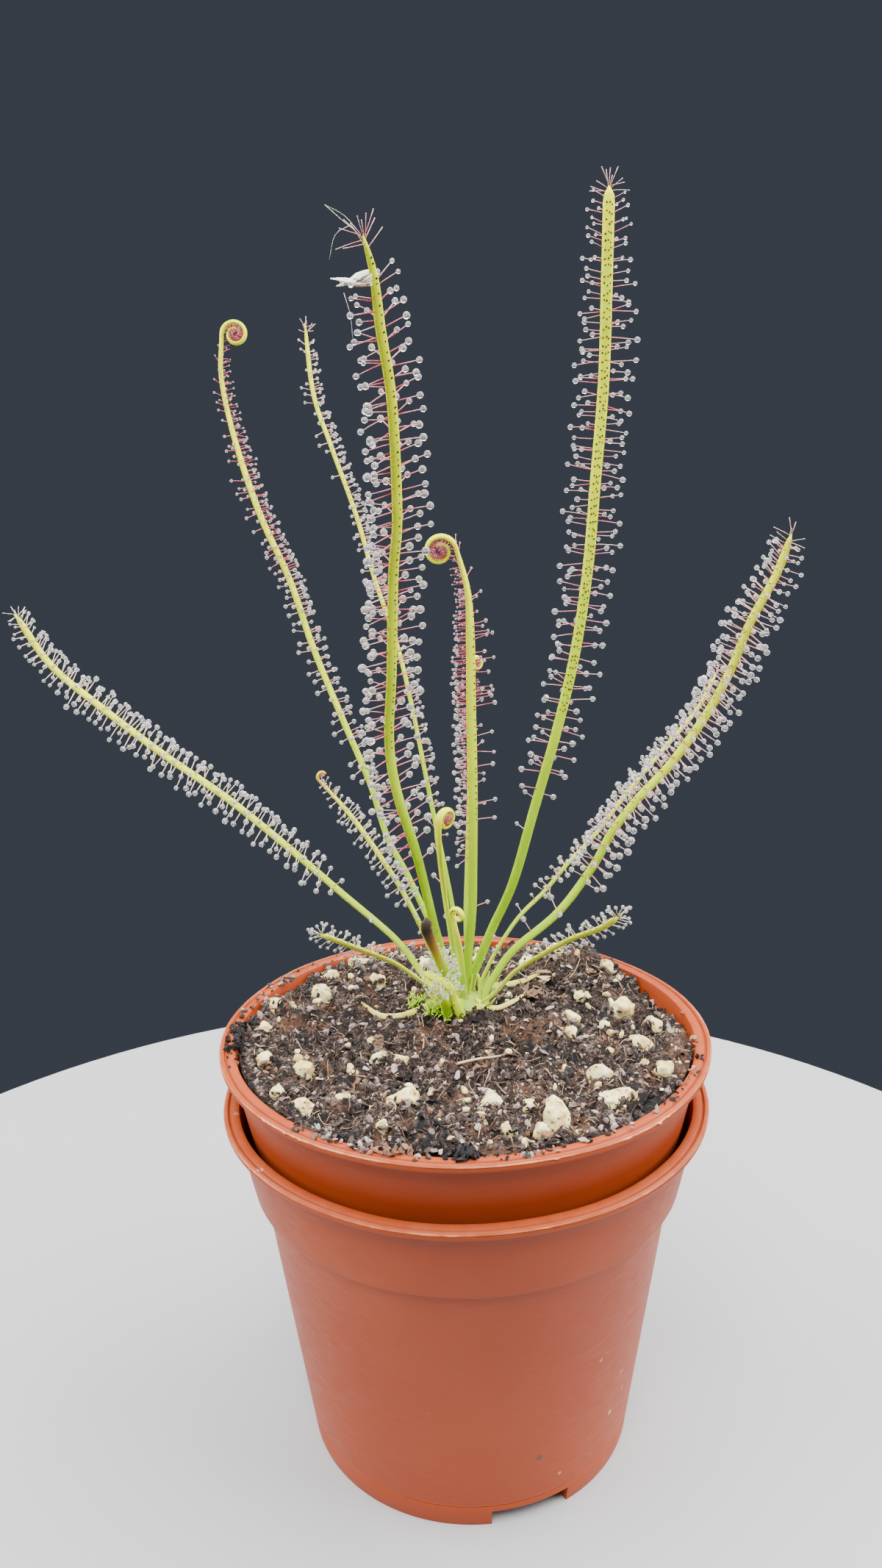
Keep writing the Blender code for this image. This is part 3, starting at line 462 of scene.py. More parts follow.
def pumice_stone():
    """Cream pumice: porous, darker in the pits, and with a stain on some grains."""
    look = Look("pumice_stone")
    dusty = look.grain(420.0, 5.0, 0.65)
    colour = look.ramp(dusty, (0.3, (0.30, 0.16, 0.05)), (0.42, (0.66, 0.47, 0.16)),
                       (0.55, (0.90, 0.78, 0.38)), (0.8, (0.97, 0.93, 0.66)))
    pits = look.specks(850.0, (0.1, 1.0), (0.24, 0.0))
    # The pits, which the relief sinks, are painted darker.
    colour = look.over(colour, (0.20, 0.15, 0.07), look.sums("MULTIPLY", pits, 0.75))
    colour = look.over(colour, (0.36, 0.17, 0.06), look.grain(75.0), (0.6, 0.0), (0.68, 0.8))
    return look.finish(colour, 0.9, (look.sums("SUBTRACT", dusty, pits), 0.9, 0.0004))


def dry_fibre():
    """Straw, rootlets and bark threads."""
    look = Look("dry_fibre")
    colour = look.ramp(look.mark("tone"), (0.0, (0.010, 0.005, 0.003)), (0.35, (0.06, 0.026, 0.014)),
                       (0.7, (0.26, 0.15, 0.08)), (1.0, (0.66, 0.48, 0.28)))
    colour = look.over(colour, (0.12, 0.07, 0.05), look.grain(1300.0), (0.4, 0.0), (0.7, 0.5))
    return look.finish(colour, 0.8)


def withered_skin():
    """Dead leaf: still green at its foot, then straw, with a dark end, and a little light through it."""
    look = Look("withered_skin")
    colour = look.along((0.0, (0.46, 0.56, 0.02)), (0.3, (0.68, 0.62, 0.10)), (0.8, (0.66, 0.48, 0.12)),
                        (1.0, (0.10, 0.055, 0.02)))
    streaks = look.grain(900.0, 4.0, 0.6)
    colour = look.over(colour, (0.46, 0.32, 0.06), streaks, (0.4, 0.0), (0.75, 0.6))
    return look.finish(colour, look.ramp(streaks, (0.3, 0.45), (0.7, 0.7)), (streaks, 0.5, 0.0003),
                       flesh=(0.25, 0.001))


def sheath_skin():
    """The crown's sheaths: dark lime at the foot, paler towards the fronds, with fine veins."""
    look = Look("sheath_skin")
    veins = look.grain(1.0, 4.0, 0.6, (1800, 1800, 220))
    colour = look.along((0.0, (0.34, 0.46, 0.05)), (0.4, (0.56, 0.66, 0.08)), (1.0, (0.74, 0.80, 0.16)))
    colour = look.over(colour, (0.42, 0.56, 0.05), veins, (0.4, 0.0), (0.7, 0.5))
    return look.finish(colour, look.ramp(veins, (0.3, 0.4), (0.7, 0.6)), (veins, 0.4, 0.0003), 0.2,
                       (0.2, 0.001, (0.6, 1.0, 0.2)))


def moss_green():
    """Moss: bright young tips on dark feet."""
    look = Look("moss_green")
    colour = look.along((0.0, (0.08, 0.17, 0.012)), (0.4, (0.22, 0.46, 0.004)), (1.0, (0.50, 0.70, 0.02)))
    colour = look.over(colour, (0.62, 0.74, 0.06), look.grain(800.0, 2.0), (0.4, 0.0), (0.7, 0.4))
    return look.finish(colour, 0.5, flesh=(0.3, 0.0006))


def husk_paper():
    """The papery husk of a caught insect."""
    look = Look("husk_paper")
    veins = look.grain(1500.0, 4.0, 0.6)
    colour = look.ramp(veins, (0.3, (0.50, 0.44, 0.28)), (0.5, (0.80, 0.77, 0.62)), (0.8, (0.92, 0.91, 0.82)))
    return look.finish(colour, 0.7, (veins, 0.6, 0.0002), flesh=(0.2, 0.0006))


# Mesh helpers. A bmesh is built in millimetres from the pots' axis.
def framed(bm, name):
    """The bmesh as a mesh in the frame's metres."""
    bmesh.ops.scale(bm, vec=(MM, MM, MM), verts=bm.verts)
    bmesh.ops.translate(bm, vec=AXIS, verts=bm.verts)
    mesh = bpy.data.meshes.new(name)
    bm.to_mesh(mesh)
    bm.free()
    return mesh


def shown(name, data):
    """A new object in the scene."""
    thing = bpy.data.objects.new(name, data)
    bpy.context.scene.collection.objects.link(thing)
    return thing


def piece(bm, name, finish, sharp=None, replaces=()):
    """Turn a bmesh into an object of the plant, riding on the one body."""
    bmesh.ops.recalc_face_normals(bm, faces=bm.faces)
    mesh = framed(bm, name)
    mesh.shade_smooth()
    if sharp:
        mesh.set_sharp_from_angle(angle=radians(sharp))
    mesh.materials.append(finish)
    thing = shown(name, mesh)
    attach(thing, "root")
    if replaces:
        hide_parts(*replaces)
    return thing


def shape(*names):
    """An empty bmesh with a number for each of the named marks at its vertices."""
    bm = bmesh.new()
    for name in names:
        bm.verts.layers.float.new(name)
    return bm


def write_marks(bm, corner, marks):
    """Write a vertex's named numbers."""
    for name, value in marks.items():
        corner[bm.verts.layers.float[name]] = value


def absorb(bm, small):
    """Add a small shape to the piece that is being built."""
    small.to_mesh(CARRIER)
    small.free()
    bm.from_mesh(CARRIER)


def turned_frame(line, faces, number):
    """The directions along a line, out of its face and across it, at one of its points."""
    along = (line[min(number + 1, len(line) - 1)] - line[max(number - 1, 0)]).normalized()
    face = (faces[number] - faces[number].dot(along) * along).normalized()
    return along, face, along.cross(face)


def sweep(bm, line, faces, outline, sides, marks):
    """A closed strap along a line: outline gives its half width and half thickness at each ring."""
    made = bmesh.ops.create_circle(bm, cap_ends=True, segments=sides, radius=1.0)["verts"]
    cap = made[0].link_faces[0]
    for number, point in enumerate(line):
        if number:
            grown = bmesh.ops.extrude_face_region(bm, geom=[cap])["geom"]
            if number > 1:
                bm.faces.remove(cap)
            cap = next(item for item in grown if isinstance(item, bmesh.types.BMFace))
        _, face, edge = turned_frame(line, faces, number)
        wide, thick = outline(number)
        values = marks(number)
        for turn, corner in enumerate(list(cap.verts)):
            angle = tau * turn / sides
            corner.co = point + edge * (wide * cos(angle)) + face * (thick * sin(angle))
            write_marks(bm, corner, values)


def ball(bm, radius, detail, matrix, squeeze=None, **marks):
    """Add a small marked ball to a piece; squeeze moves its vertices first."""
    small = shape(*marks)
    made = bmesh.ops.create_icosphere(small, subdivisions=detail, radius=radius)["verts"]
    for corner in made:
        if squeeze:
            squeeze(corner)
        write_marks(small, corner, marks)
    bmesh.ops.transform(small, matrix=matrix, verts=made)
    absorb(bm, small)


def thread(bm, points, width, **marks):
    """Add a thin marked thread through the points, tapering to its far end."""
    small = shape(*marks)
    line = smooth_line(points, 0.7)
    last = len(line) - 1
    sweep(small, line, [Vector((0.1, 0.2, 1))] * len(line),
          lambda number: (width * (1 - 0.6 * number / last),) * 2, 4, lambda number: marks)
    absorb(bm, small)


def strap(bm, points, widths, face, thick, sides=8, **marks):
    """Add a thin strap through the points with the given half widths, marked from its foot to its tip."""
    small = shape("along", *marks)
    line = smooth_line(points, 0.5)
    last = len(line) - 1

    def outline(number):
        share = number / last * (len(widths) - 1)
        low = min(len(widths) - 2, int(share))
        wide = widths[low] + (widths[low + 1] - widths[low]) * (share - low)
        return wide, min(wide, thick)

    turning = face if callable(face) else lambda share: Vector(face)
    faces = [turning(number / last) for number in range(last + 1)]
    sweep(small, line, faces, outline, sides, lambda number: {"along": number / last, **marks})
    absorb(bm, small)


def spun(profile, steps, closed):
    """A solid turned round the pots' axis from a profile."""
    bm = bmesh.new()
    corners = [bm.verts.new((radius, 0.0, height)) for radius, height in profile]
    edges = [bm.edges.new(pair) for pair in zip(corners, corners[1:])]
    if closed:
        edges.append(bm.edges.new((corners[-1], corners[0])))
    bmesh.ops.spin(bm, geom=corners + edges, cent=(0, 0, 0), axis=UP, angle=tau, steps=steps, use_merge=True)
    bmesh.ops.remove_doubles(bm, verts=bm.verts, dist=0.0005)
    return bm


def smooth_line(points, spacing):
    """Points on a smooth curve through the given ones, about one spacing apart."""
    points = [Vector(point) for point in points]
    ends = [2 * points[0] - points[1], *points, 2 * points[-1] - points[-2]]
    fine = []
    for before, near, far, after in zip(ends, ends[1:], ends[2:], ends[3:]):
        for step in range(12):
            t = step / 12
            fine.append(0.5 * (2 * near + (far - before) * t
                               + (2 * before - 5 * near + 4 * far - after) * t ** 2
                               + (3 * near - before - 3 * far + after) * t ** 3))
    fine.append(points[-1])
    total = sum((b - a).length for a, b in zip(fine, fine[1:]))
    count = max(2, round(total / spacing))
    line = [fine[0]]
    walked = 0.0
    for a, b in zip(fine, fine[1:]):
        step = (b - a).length
        while len(line) < count and walked + step >= len(line) * total / count:
            line.append(a.lerp(b, (len(line) * total / count - walked) / step))
        walked += step
    return [*line, fine[-1]]


def wall_radius(height):
    return BASE_RADIUS + (WALL_TOP_RADIUS - BASE_RADIUS) * height / COLLAR_FOOT


def collar_radius(height):
    share = (height - COLLAR_FOOT) / (LIP_FOOT - COLLAR_FOOT)
    return COLLAR_FOOT_RADIUS + (COLLAR_TOP_RADIUS - COLLAR_FOOT_RADIUS) * share


def rounded(profile):
    """Break each corner of a profile with a small round."""
    points = [profile[0]]
    for before, corner, after in zip(profile, profile[1:], profile[2:]):
        a, c, b = Vector(before), Vector(corner), Vector(after)
        reach = min(CORNER_ROUND, 0.35 * (a - c).length, 0.35 * (b - c).length)
        first = c + (a - c).normalized() * reach
        last = c + (b - c).normalized() * reach
        points += [tuple(first), tuple((first + last + 2 * c) / 4), tuple(last)]
    return [*points, profile[-1]]


def pot_profile():
    """Half of a pot's section, from the middle of its underside round the lip to the middle of its floor."""
    rim, top = RIM_RADIUS, POT_HEIGHT
    return (
        (0.0, FLOOR_UNDERSIDE),
        (FOOT_INNER_RADIUS, FLOOR_UNDERSIDE),
        (FOOT_INNER_RADIUS, 0.0),
        (BASE_RADIUS, 0.0),
        (wall_radius(RING_LINE - 0.35), RING_LINE - 0.35),
        (wall_radius(RING_LINE) - RING_DEPTH, RING_LINE - 0.1),
        (wall_radius(RING_LINE + 0.25), RING_LINE + 0.25),
        (wall_radius(COLLAR_FOOT), COLLAR_FOOT),
        (COLLAR_FOOT_RADIUS - 0.2, COLLAR_FOOT),
        (COLLAR_FOOT_RADIUS, COLLAR_FOOT + 0.35),
        (collar_radius(LIP_FOOT - 4.0), LIP_FOOT - 4.0),
        (collar_radius(LIP_FOOT), LIP_FOOT),
        (rim - 0.25, LIP_FOOT + 0.1),
        (rim, LIP_FOOT + 0.6),
        (rim - 0.25, top - 0.15),
        (rim - 0.6, top),
        (rim - 0.8, top - 0.08),
        (rim - 0.95, top - 0.5),
        (rim - 1.1, top - 0.5),
        (rim - 1.3, top - 0.06),
        (rim - 2.2, top - 0.04),
        (LIP_INNER_RADIUS, top - 0.2),
        (collar_radius(LIP_FOOT) - WALL, LIP_FOOT - 0.6),
        (collar_radius(COLLAR_FOOT + WALL) - WALL, COLLAR_FOOT + WALL),
        (wall_radius(COLLAR_FOOT - 0.5) - WALL, COLLAR_FOOT - 0.5),
        (wall_radius(FLOOR_TOP) - WALL, FLOOR_TOP),
        (0.0, FLOOR_TOP),
    )


def notch_cutter(number, lift):
    """The room of one drain notch."""
    bm = bmesh.new()
    inner = bm.verts.new((NOTCH_REACH, 0.0, lift - 1.0))
    outer = bm.verts.new((RIM_RADIUS, 0.0, lift - 1.0))
    edge = bm.edges.new((inner, outer))
    turn = radians(NOTCH_ANGLE)
    bmesh.ops.spin(bm, geom=[inner, outer, edge], cent=(0, 0, 0), axis=UP, angle=turn, steps=24)
    start = radians(NOTCH_START + number * 360 / NOTCHES) - turn / 2
    bmesh.ops.rotate(bm, verts=bm.verts, cent=(0, 0, 0), matrix=Matrix.Rotation(start, 3, "Z"))
    raised = bmesh.ops.extrude_face_region(bm, geom=bm.faces[:])["geom"]
    raised = [item for item in raised if isinstance(item, bmesh.types.BMVert)]
    bmesh.ops.translate(bm, vec=(0, 0, NOTCH_HEIGHT + 1.0), verts=raised)
    bmesh.ops.recalc_face_normals(bm, faces=bm.faces)
    return bm


def cut(thing, cutters):
    """Take bmesh solids out of a finished piece."""
    tools = bpy.data.collections.new("cutters")
    bpy.context.scene.collection.children.link(tools)
    for bm in cutters:
        tools.objects.link(bpy.data.objects.new("cutter", framed(bm, "cutter")))
    modifier = thing.modifiers.new("cut", "BOOLEAN")
    modifier.operand_type = "COLLECTION"
    modifier.collection = tools
    evaluated = thing.evaluated_get(bpy.context.evaluated_depsgraph_get())
    result = bpy.data.meshes.new_from_object(evaluated)
    thing.modifiers.clear()
    thing.data = result
    for tool in list(tools.objects):
        bpy.data.objects.remove(tool, do_unlink=True)
    bpy.data.collections.remove(tools)


def wave_at(corner, seed):
    """The slow wave of a lip."""
    return noise.noise(Vector((corner.co.x * 0.05, corner.co.y * 0.05, seed)))


def pot(name, lift, plastic, seed):
    """One nursery pot with a slightly wavy lip, and the ragged flash that the mould left on it."""
    bm = spun([(radius, height + lift) for radius, height in rounded(pot_profile())], POT_STEPS, False)
    edge_layer = bm.verts.layers.float.new("edge")
    for corner in bm.verts:
        reach = hypot(corner.co.x, corner.co.y)
        height = corner.co.z - lift
        if height > COLLAR_FOOT:
            share = (height - COLLAR_FOOT) / (POT_HEIGHT - COLLAR_FOOT)
            corner.co.z += WAVE * share * wave_at(corner, seed)
        on_lip = height > POT_HEIGHT - 0.6 and reach > LIP_INNER_RADIUS
        on_ring = abs(height - RING_LINE - 0.25) < 0.06 and reach > BASE_RADIUS
        # Pale edge mark: a painted highlight on the ring groove's upper edge, and wear on the lip.
        corner[edge_layer] = 0.6 * on_ring + 0.1 * on_lip + 0.35 * (on_lip and reach > RIM_RADIUS - 0.25)
    thing = piece(bm, name + "_moulding", plastic, 28, [name])
    cut(thing, [notch_cutter(number, lift) for number in range(NOTCHES)])
    thing.data.set_sharp_from_angle(angle=radians(28))

    height = POT_HEIGHT - 0.35 + lift
    bm = spun([(RIM_RADIUS + out, height + up) for out, up in
               ((-0.5, -0.1), (-0.05, -0.14), (0.04, 0.0), (-0.05, 0.12), (-0.5, 0.1))], FLASH_STEPS, True)
    edge_layer = bm.verts.layers.float.new("edge")
    for corner in bm.verts:
        spot = Vector((corner.co.x, corner.co.y, 0))
        reach = spot.length
        ragged = max(0.0, noise.noise(spot * 1.1 + seed * UP)) ** 1.5
        patch = max(0.0, noise.noise(spot * 0.07 + (seed + 5) * UP) + 0.25)
        corner[edge_layer] = min(1.0, 0.2 + 1.4 * patch)
        if reach > RIM_RADIUS - 0.3:
            corner.co.x *= 1 + 0.6 * ragged * patch / reach
            corner.co.y *= 1 + 0.6 * ragged * patch / reach
            corner.co.z -= 0.5 * ragged * patch
        corner.co.z += WAVE * wave_at(corner, seed)
    piece(bm, name + "_flash", plastic, 50)


def bump_at(x, y, at_x, at_y, width):
    return exp(-((x - at_x) ** 2 + (y - at_y) ** 2) / (2 * width ** 2))


def soil_height(x, y):
    """The surface of the potting mix: low at the right, heaped at the back right and the front."""
    height = SOIL_LEVEL
    for at_x, at_y, width, lift in HEAPS:
        height += lift * bump_at(x, y, at_x, at_y, width)
    height += 0.35 * sin(0.42 * x + 0.5) * sin(0.37 * y)
    rise = min(1.0, max(0.0, (hypot(x, y) - EDGE_RISE_FROM) / EDGE_RISE_WIDTH))
    return height + EDGE_RISE * rise ** 2 * (3 - 2 * rise)


def heap_at(x, y):
    """The small heap of mix before the crown."""
    return 1.5 * bump_at(x, y, 3.6, 6.4, 2.0)


def rough_height(x, y):
    """The surface with its clods, and the creases and crumbs between them."""
    spot = Vector((x, y, 0.0))
    clods = (abs(noise.noise(spot * 0.3 + Vector((7, 3, 0)))) - 0.2) * 3.4
    lumps = (abs(noise.noise(spot * 1.05 + Vector((2, 9, 0)))) - 0.2) * 1.5
    crumbs = noise.noise(spot * 2.9) * 0.35
    return soil_height(x, y) + noise.noise(spot * 0.15) * 0.8 + clods + lumps + crumbs + heap_at(x, y)


def soil(ground):
    """The mix, with a rough top, down to the inner pot's floor."""
    rings = round(SOIL_EDGE / SOIL_RING_STEP)
    profile = [(SOIL_EDGE * number / rings, SOIL_LEVEL) for number in range(rings + 1)]
    for height, radius in ((COLLAR_FOOT + WALL + 1.0, collar_radius), (COLLAR_FOOT - 1.0, wall_radius),
                           (FLOOR_TOP + 0.3, wall_radius)):
        profile.append((radius(height) - WALL - 0.3, height + POT_LIFT))
    bm = spun([*profile, (0.0, FLOOR_TOP + 0.3 + POT_LIFT)], SOIL_STEPS, False)
    raised = bm.verts.layers.float.new("raised")
    for corner in bm.verts:
        if corner.co.z > SOIL_LEVEL - 0.01:
            corner.co.z = rough_height(corner.co.x, corner.co.y)
            above = corner.co.z - soil_height(corner.co.x, corner.co.y)
            # The height above the smooth surface: the ground's material paints shade into the low creases by
            # it.
            corner[raised] = min(1.0, max(0.0, 0.5 + 0.45 * above))
    piece(bm, "potting_mix_ground", ground, 60, ["potting_mix"])


def scattered(draw, most):
    """A random place on the mix, evenly spread over its round surface."""
    reach = most * sqrt(draw.random())
    turn = draw.uniform(0, tau)
    return reach * cos(turn), reach * sin(turn)


def any_vector(draw, low, high):
    """A vector with three random numbers."""
    return Vector([draw.uniform(low, high) for _ in range(3)])


def tumbled(draw):
    """A random turn."""
    return Matrix.Rotation(draw.uniform(0, tau), 4, any_vector(draw, -1, 1).normalized())


def stone(bm, at, size, detail, draw):
    """Add one pumice grain: a broken lump with flat sides, dents and pits."""
    shift = any_vector(draw, 0, 90)
    lengths = draw.uniform(1.1, 1.4), draw.uniform(0.9, 1.1), draw.uniform(0.7, 0.9)
    sides = []
    for _ in range(11):
        side = Vector((draw.gauss(0, 1), draw.gauss(0, 1), draw.gauss(0, 1))).normalized()
        sides.append((side, size * draw.uniform(0.3, 0.46)))

    def squeeze(corner):
        for side, reach in sides:
            over = corner.co.dot(side) - reach
            if over > 0:
                corner.co -= side * over * 0.95
        spot = corner.co / size
        dents = 0.2 * noise.noise(spot * 2.2 + shift) + 0.1 * noise.noise(spot * 6.5 + shift)
        pits = 0.12 * max(0.0, noise.noise(spot * 12 + shift) - 0.1)
        corner.co *= 1 + dents - pits
        corner.co = Vector(value * length for value, length in zip(corner.co, lengths))
    ball(bm, size * 0.56, detail, Matrix.Translation(at) @ tumbled(draw), squeeze)


def pumice(stone_finish):
    """Large grains where they lie in the photo, and small ones between them."""
    draw = random.Random(3)
    bm = bmesh.new()
    for x, y, size in PUMICE:
        reach = hypot(x, y)
        most = SOIL_EDGE - size / 2 - 0.8
        if reach > most:
            x, y = x * most / reach, y * most / reach
        stone(bm, Vector((x, y, soil_height(x, y) + 0.05 * size)), size * 1.15, 4, draw)
    piece(bm, "pumice_grains", stone_finish)
    bm = bmesh.new()
    for _ in range(SMALL_GRAINS):
        x, y = scattered(draw, SOIL_EDGE - 1.2)
        if hypot(x - CROWN_AT.x, y - CROWN_AT.y) > CROWN_RADIUS + 1.5:
            size = 0.5 + 1.3 * draw.random() ** 2
            stone(bm, Vector((x, y, rough_height(x, y) + 0.15 * size)), size, 2, draw)
    piece(bm, "pumice_crumbs", stone_finish)


def chip(bm, at, size, draw, tone=None):
    """Add one crumb or flake; black in the charcoal clumps, rusty where bark lies."""
    def squeeze(corner):
        corner.co *= draw.uniform(0.55, 1.3)
        corner.co.x *= 1.35
        corner.co.z *= flatness
    flatness = draw.uniform(0.3, 0.8)
    mood = noise.noise(Vector((at[0] * 0.13, at[1] * 0.13, 4.0)))
    if tone is None:
        tone = 0.22 + 0.62 * draw.random() ** 1.1
        if mood > 0.3:
            tone = draw.uniform(0.0, 0.2)
        elif mood < -0.33:
            tone = draw.uniform(0.88, 1.0)
    ball(bm, size / 2, 1, Matrix.Translation(at) @ tumbled(draw), squeeze, tone=tone)


def chips(chip_finish):
    """Crumbs and flakes all over the mix, some spilled on the lip, and a charred lump at the front."""
    draw = random.Random(8)
    bm = shape("tone")
    for _ in range(CHIPS):
        x, y = scattered(draw, SOIL_EDGE - 0.3)
        size = 0.3 + 1.2 * draw.random() ** 2.6
        chip(bm, (x, y, rough_height(x, y) + 0.08 * size), size, draw)
    for x, y, size in PUMICE:
        for _ in range(12):
            turn = draw.uniform(0, tau)
            reach = size * draw.uniform(0.42, 0.6)
            lift = soil_height(x, y) + size * draw.uniform(0.0, 0.4)
            at = x + reach * cos(turn), y + reach * sin(turn), lift
            if hypot(at[0], at[1]) < SOIL_EDGE - 0.6:
                chip(bm, at, draw.uniform(0.5, 1.3), draw, draw.uniform(0.1, 0.5))
    for middle, spread, count in SPILLS:
        for _ in range(count):
            turn = radians(draw.gauss(middle, spread))
            reach = draw.uniform(SOIL_EDGE - 0.3, RIM_RADIUS - 1.1)
            size = draw.uniform(0.35, 1.2)
            lift = POT_HEIGHT + POT_LIFT + 0.1 + 0.5 * draw.random() * (RIM_RADIUS - reach) / 3
            chip(bm, (reach * cos(turn), reach * sin(turn), lift), size, draw)
    for _ in range(LUMP_CHIPS):
        away = Vector((draw.gauss(0, 0.65), draw.gauss(0, 0.55), abs(draw.gauss(0, 0.7))))
        chip(bm, LUMP_AT + away, draw.uniform(0.6, 1.5), draw, draw.uniform(0.0, 0.16))
    piece(bm, "mix_chips", chip_finish, 30)


def fibres(fibre_finish):
    """Threads of bark and root lying over the mix, and one straw."""
    draw = random.Random(5)
    bm = shape("tone")
    for _ in range(FIBRES):
        x, y = scattered(draw, SOIL_EDGE - 1.5)
        turn = draw.uniform(0, tau)
        length = 0.9 + 3.6 * draw.random() ** 2.5
        width = draw.uniform(0.05, 0.13) if length > 2.2 else draw.uniform(0.06, 0.2)
        points = []
        for _ in range(3):
            points.append((x, y, rough_height(x, y) + 0.25 + draw.uniform(-0.25, 0.7)))
            turn += draw.gauss(0, 0.4)
            x += cos(turn) * length / 2
            y += sin(turn) * length / 2
        if hypot(x, y) < SOIL_EDGE - 0.4:
            thread(bm, points, width, tone=draw.random() ** 2.2)
    thread(bm, [(x, y, soil_height(x, y) + 1.1) for x, y in STRAW], 0.32, tone=0.95)
    piece(bm, "mix_fibres", fibre_finish)


def slot_at(number):
    """A frond's place on the crown: the sunflower rule, seen from above."""
    angle = radians(number * GOLDEN_ANGLE)
    reach = SLOT_SPREAD * sqrt(number + 0.5)
    rise = CROWN_SQUASH * sqrt(CROWN_RADIUS ** 2 - reach ** 2)
    return CROWN_AT + Vector((reach * cos(angle), reach * sin(angle), rise))


def coil_points(line, coil):
    """The spiral that a coiled tip adds, and the direction to its middle at each point."""
    radius, turns, side = coil
    along = (line[-1] - line[-2]).normalized()
    inward = Vector(side)
    inward = (inward - inward.dot(along) * along).normalized()
    centre = line[-1] + inward * radius
    count = round(turns * COIL_RINGS_PER_TURN)
    points, faces = [], []
    for number in range(1, count + 1):
        angle = tau * turns * number / count
        out = along * sin(angle) - inward * cos(angle)
        points.append(centre + radius * (1 - 0.62 * number / count) * out)
        faces.append(-out)
    return points, faces


def frond_line(frond):
    """A frond's middle line, the side that carries hairs at each point, and the points before its coil."""
    root = slot_at(frond.slot)
    stem = [root - SOCKET_DEPTH * UP, root, *smooth_line((root + 1.6 * UP, *frond.line), BLADE_SPACING)]
    face = Vector(frond.face).normalized()
    if not frond.coil:
        return stem, [face] * len(stem), len(stem)
    faces = []
    for number in range(len(stem)):
        bend = max(0.0, (number / (len(stem) - 1) - 0.8) / 0.2)
        faces.append(face.lerp(Vector(frond.coil[2]).normalized(), bend))
    points, inward = coil_points(stem, frond.coil)
    return stem + points, faces + inward, len(stem)


def blade_width(frond, along, length, coil_share):
    """The strap's half width: broad at its foot, nearly even, then a pointed or blunt tip."""
    share = min(1.0, along / length)
    foot = max(0.72, frond.middle)
    wide = foot + (frond.middle * 1.04 - foot) * min(1.0, share / 0.4)
    if share > 0.6:
        wide += (max(frond.tip * 1.35, frond.middle * 0.8) - wide) * (share - 0.6) / 0.4
    if frond.name in CLUBBED:
        wide = CLUB_FOOT + (CLUBBED[frond.name] - CLUB_FOOT) * share ** 1.5
    if frond.coil:
        return wide * (1 - 0.4 * coil_share)
    left = (length - along) / frond.point
    return wide * (sqrt(max(0.02, left * (2 - left))) if left < 1 else 1)


def blade(frond, green, lines):
    """The frond's own strap, with dark pores in rows where its back shows."""
    line, faces, stem_count = lines[frond.name]
    last = stem_count - 1
    extra = max(1, len(line) - stem_count)
    length = last * BLADE_SPACING

    def outline(number):
        wide = blade_width(frond, min(number, last) * BLADE_SPACING, length, max(0, number - last) / extra)
        return wide, max(0.1, wide * (BLADE_FLATNESS if number > last else 0.5))

    def marks(number):
        share = min(1.0, number / last)
        tired = frond.aged * max(0.0, (share - 0.45) / 0.55) ** (1.2 if frond.aged > 0.5 else 3.5)
        return {"along": share, "pale": frond.pale, "aged": tired, "spot": 0.0}

    bm = shape("along", "pale", "aged", "spot")
    sweep(bm, line, faces, outline, BLADE_SIDES, marks)
    draw = random.Random(frond.slot)
    for row in PORES.get(frond.name, ()):
        for number in range(round(last * PORES_FROM), last - 1):
            along, face, edge = turned_frame(line, faces, number)
            wide, thick = outline(number)
            across = row + draw.uniform(-0.09, 0.09)
            at = line[number] - edge * wide * across
            at += along * draw.uniform(-0.4, 0.4) - face * thick * sqrt(1 - across ** 2) * 0.98
            ball(bm, 0.17 * draw.uniform(0.75, 1.15), 1, Matrix.Translation(at),
                 along=number / last, pale=0.0, aged=0.0, spot=1.0)
    piece(bm, frond.name + "_blade", green, None, [frond.name])


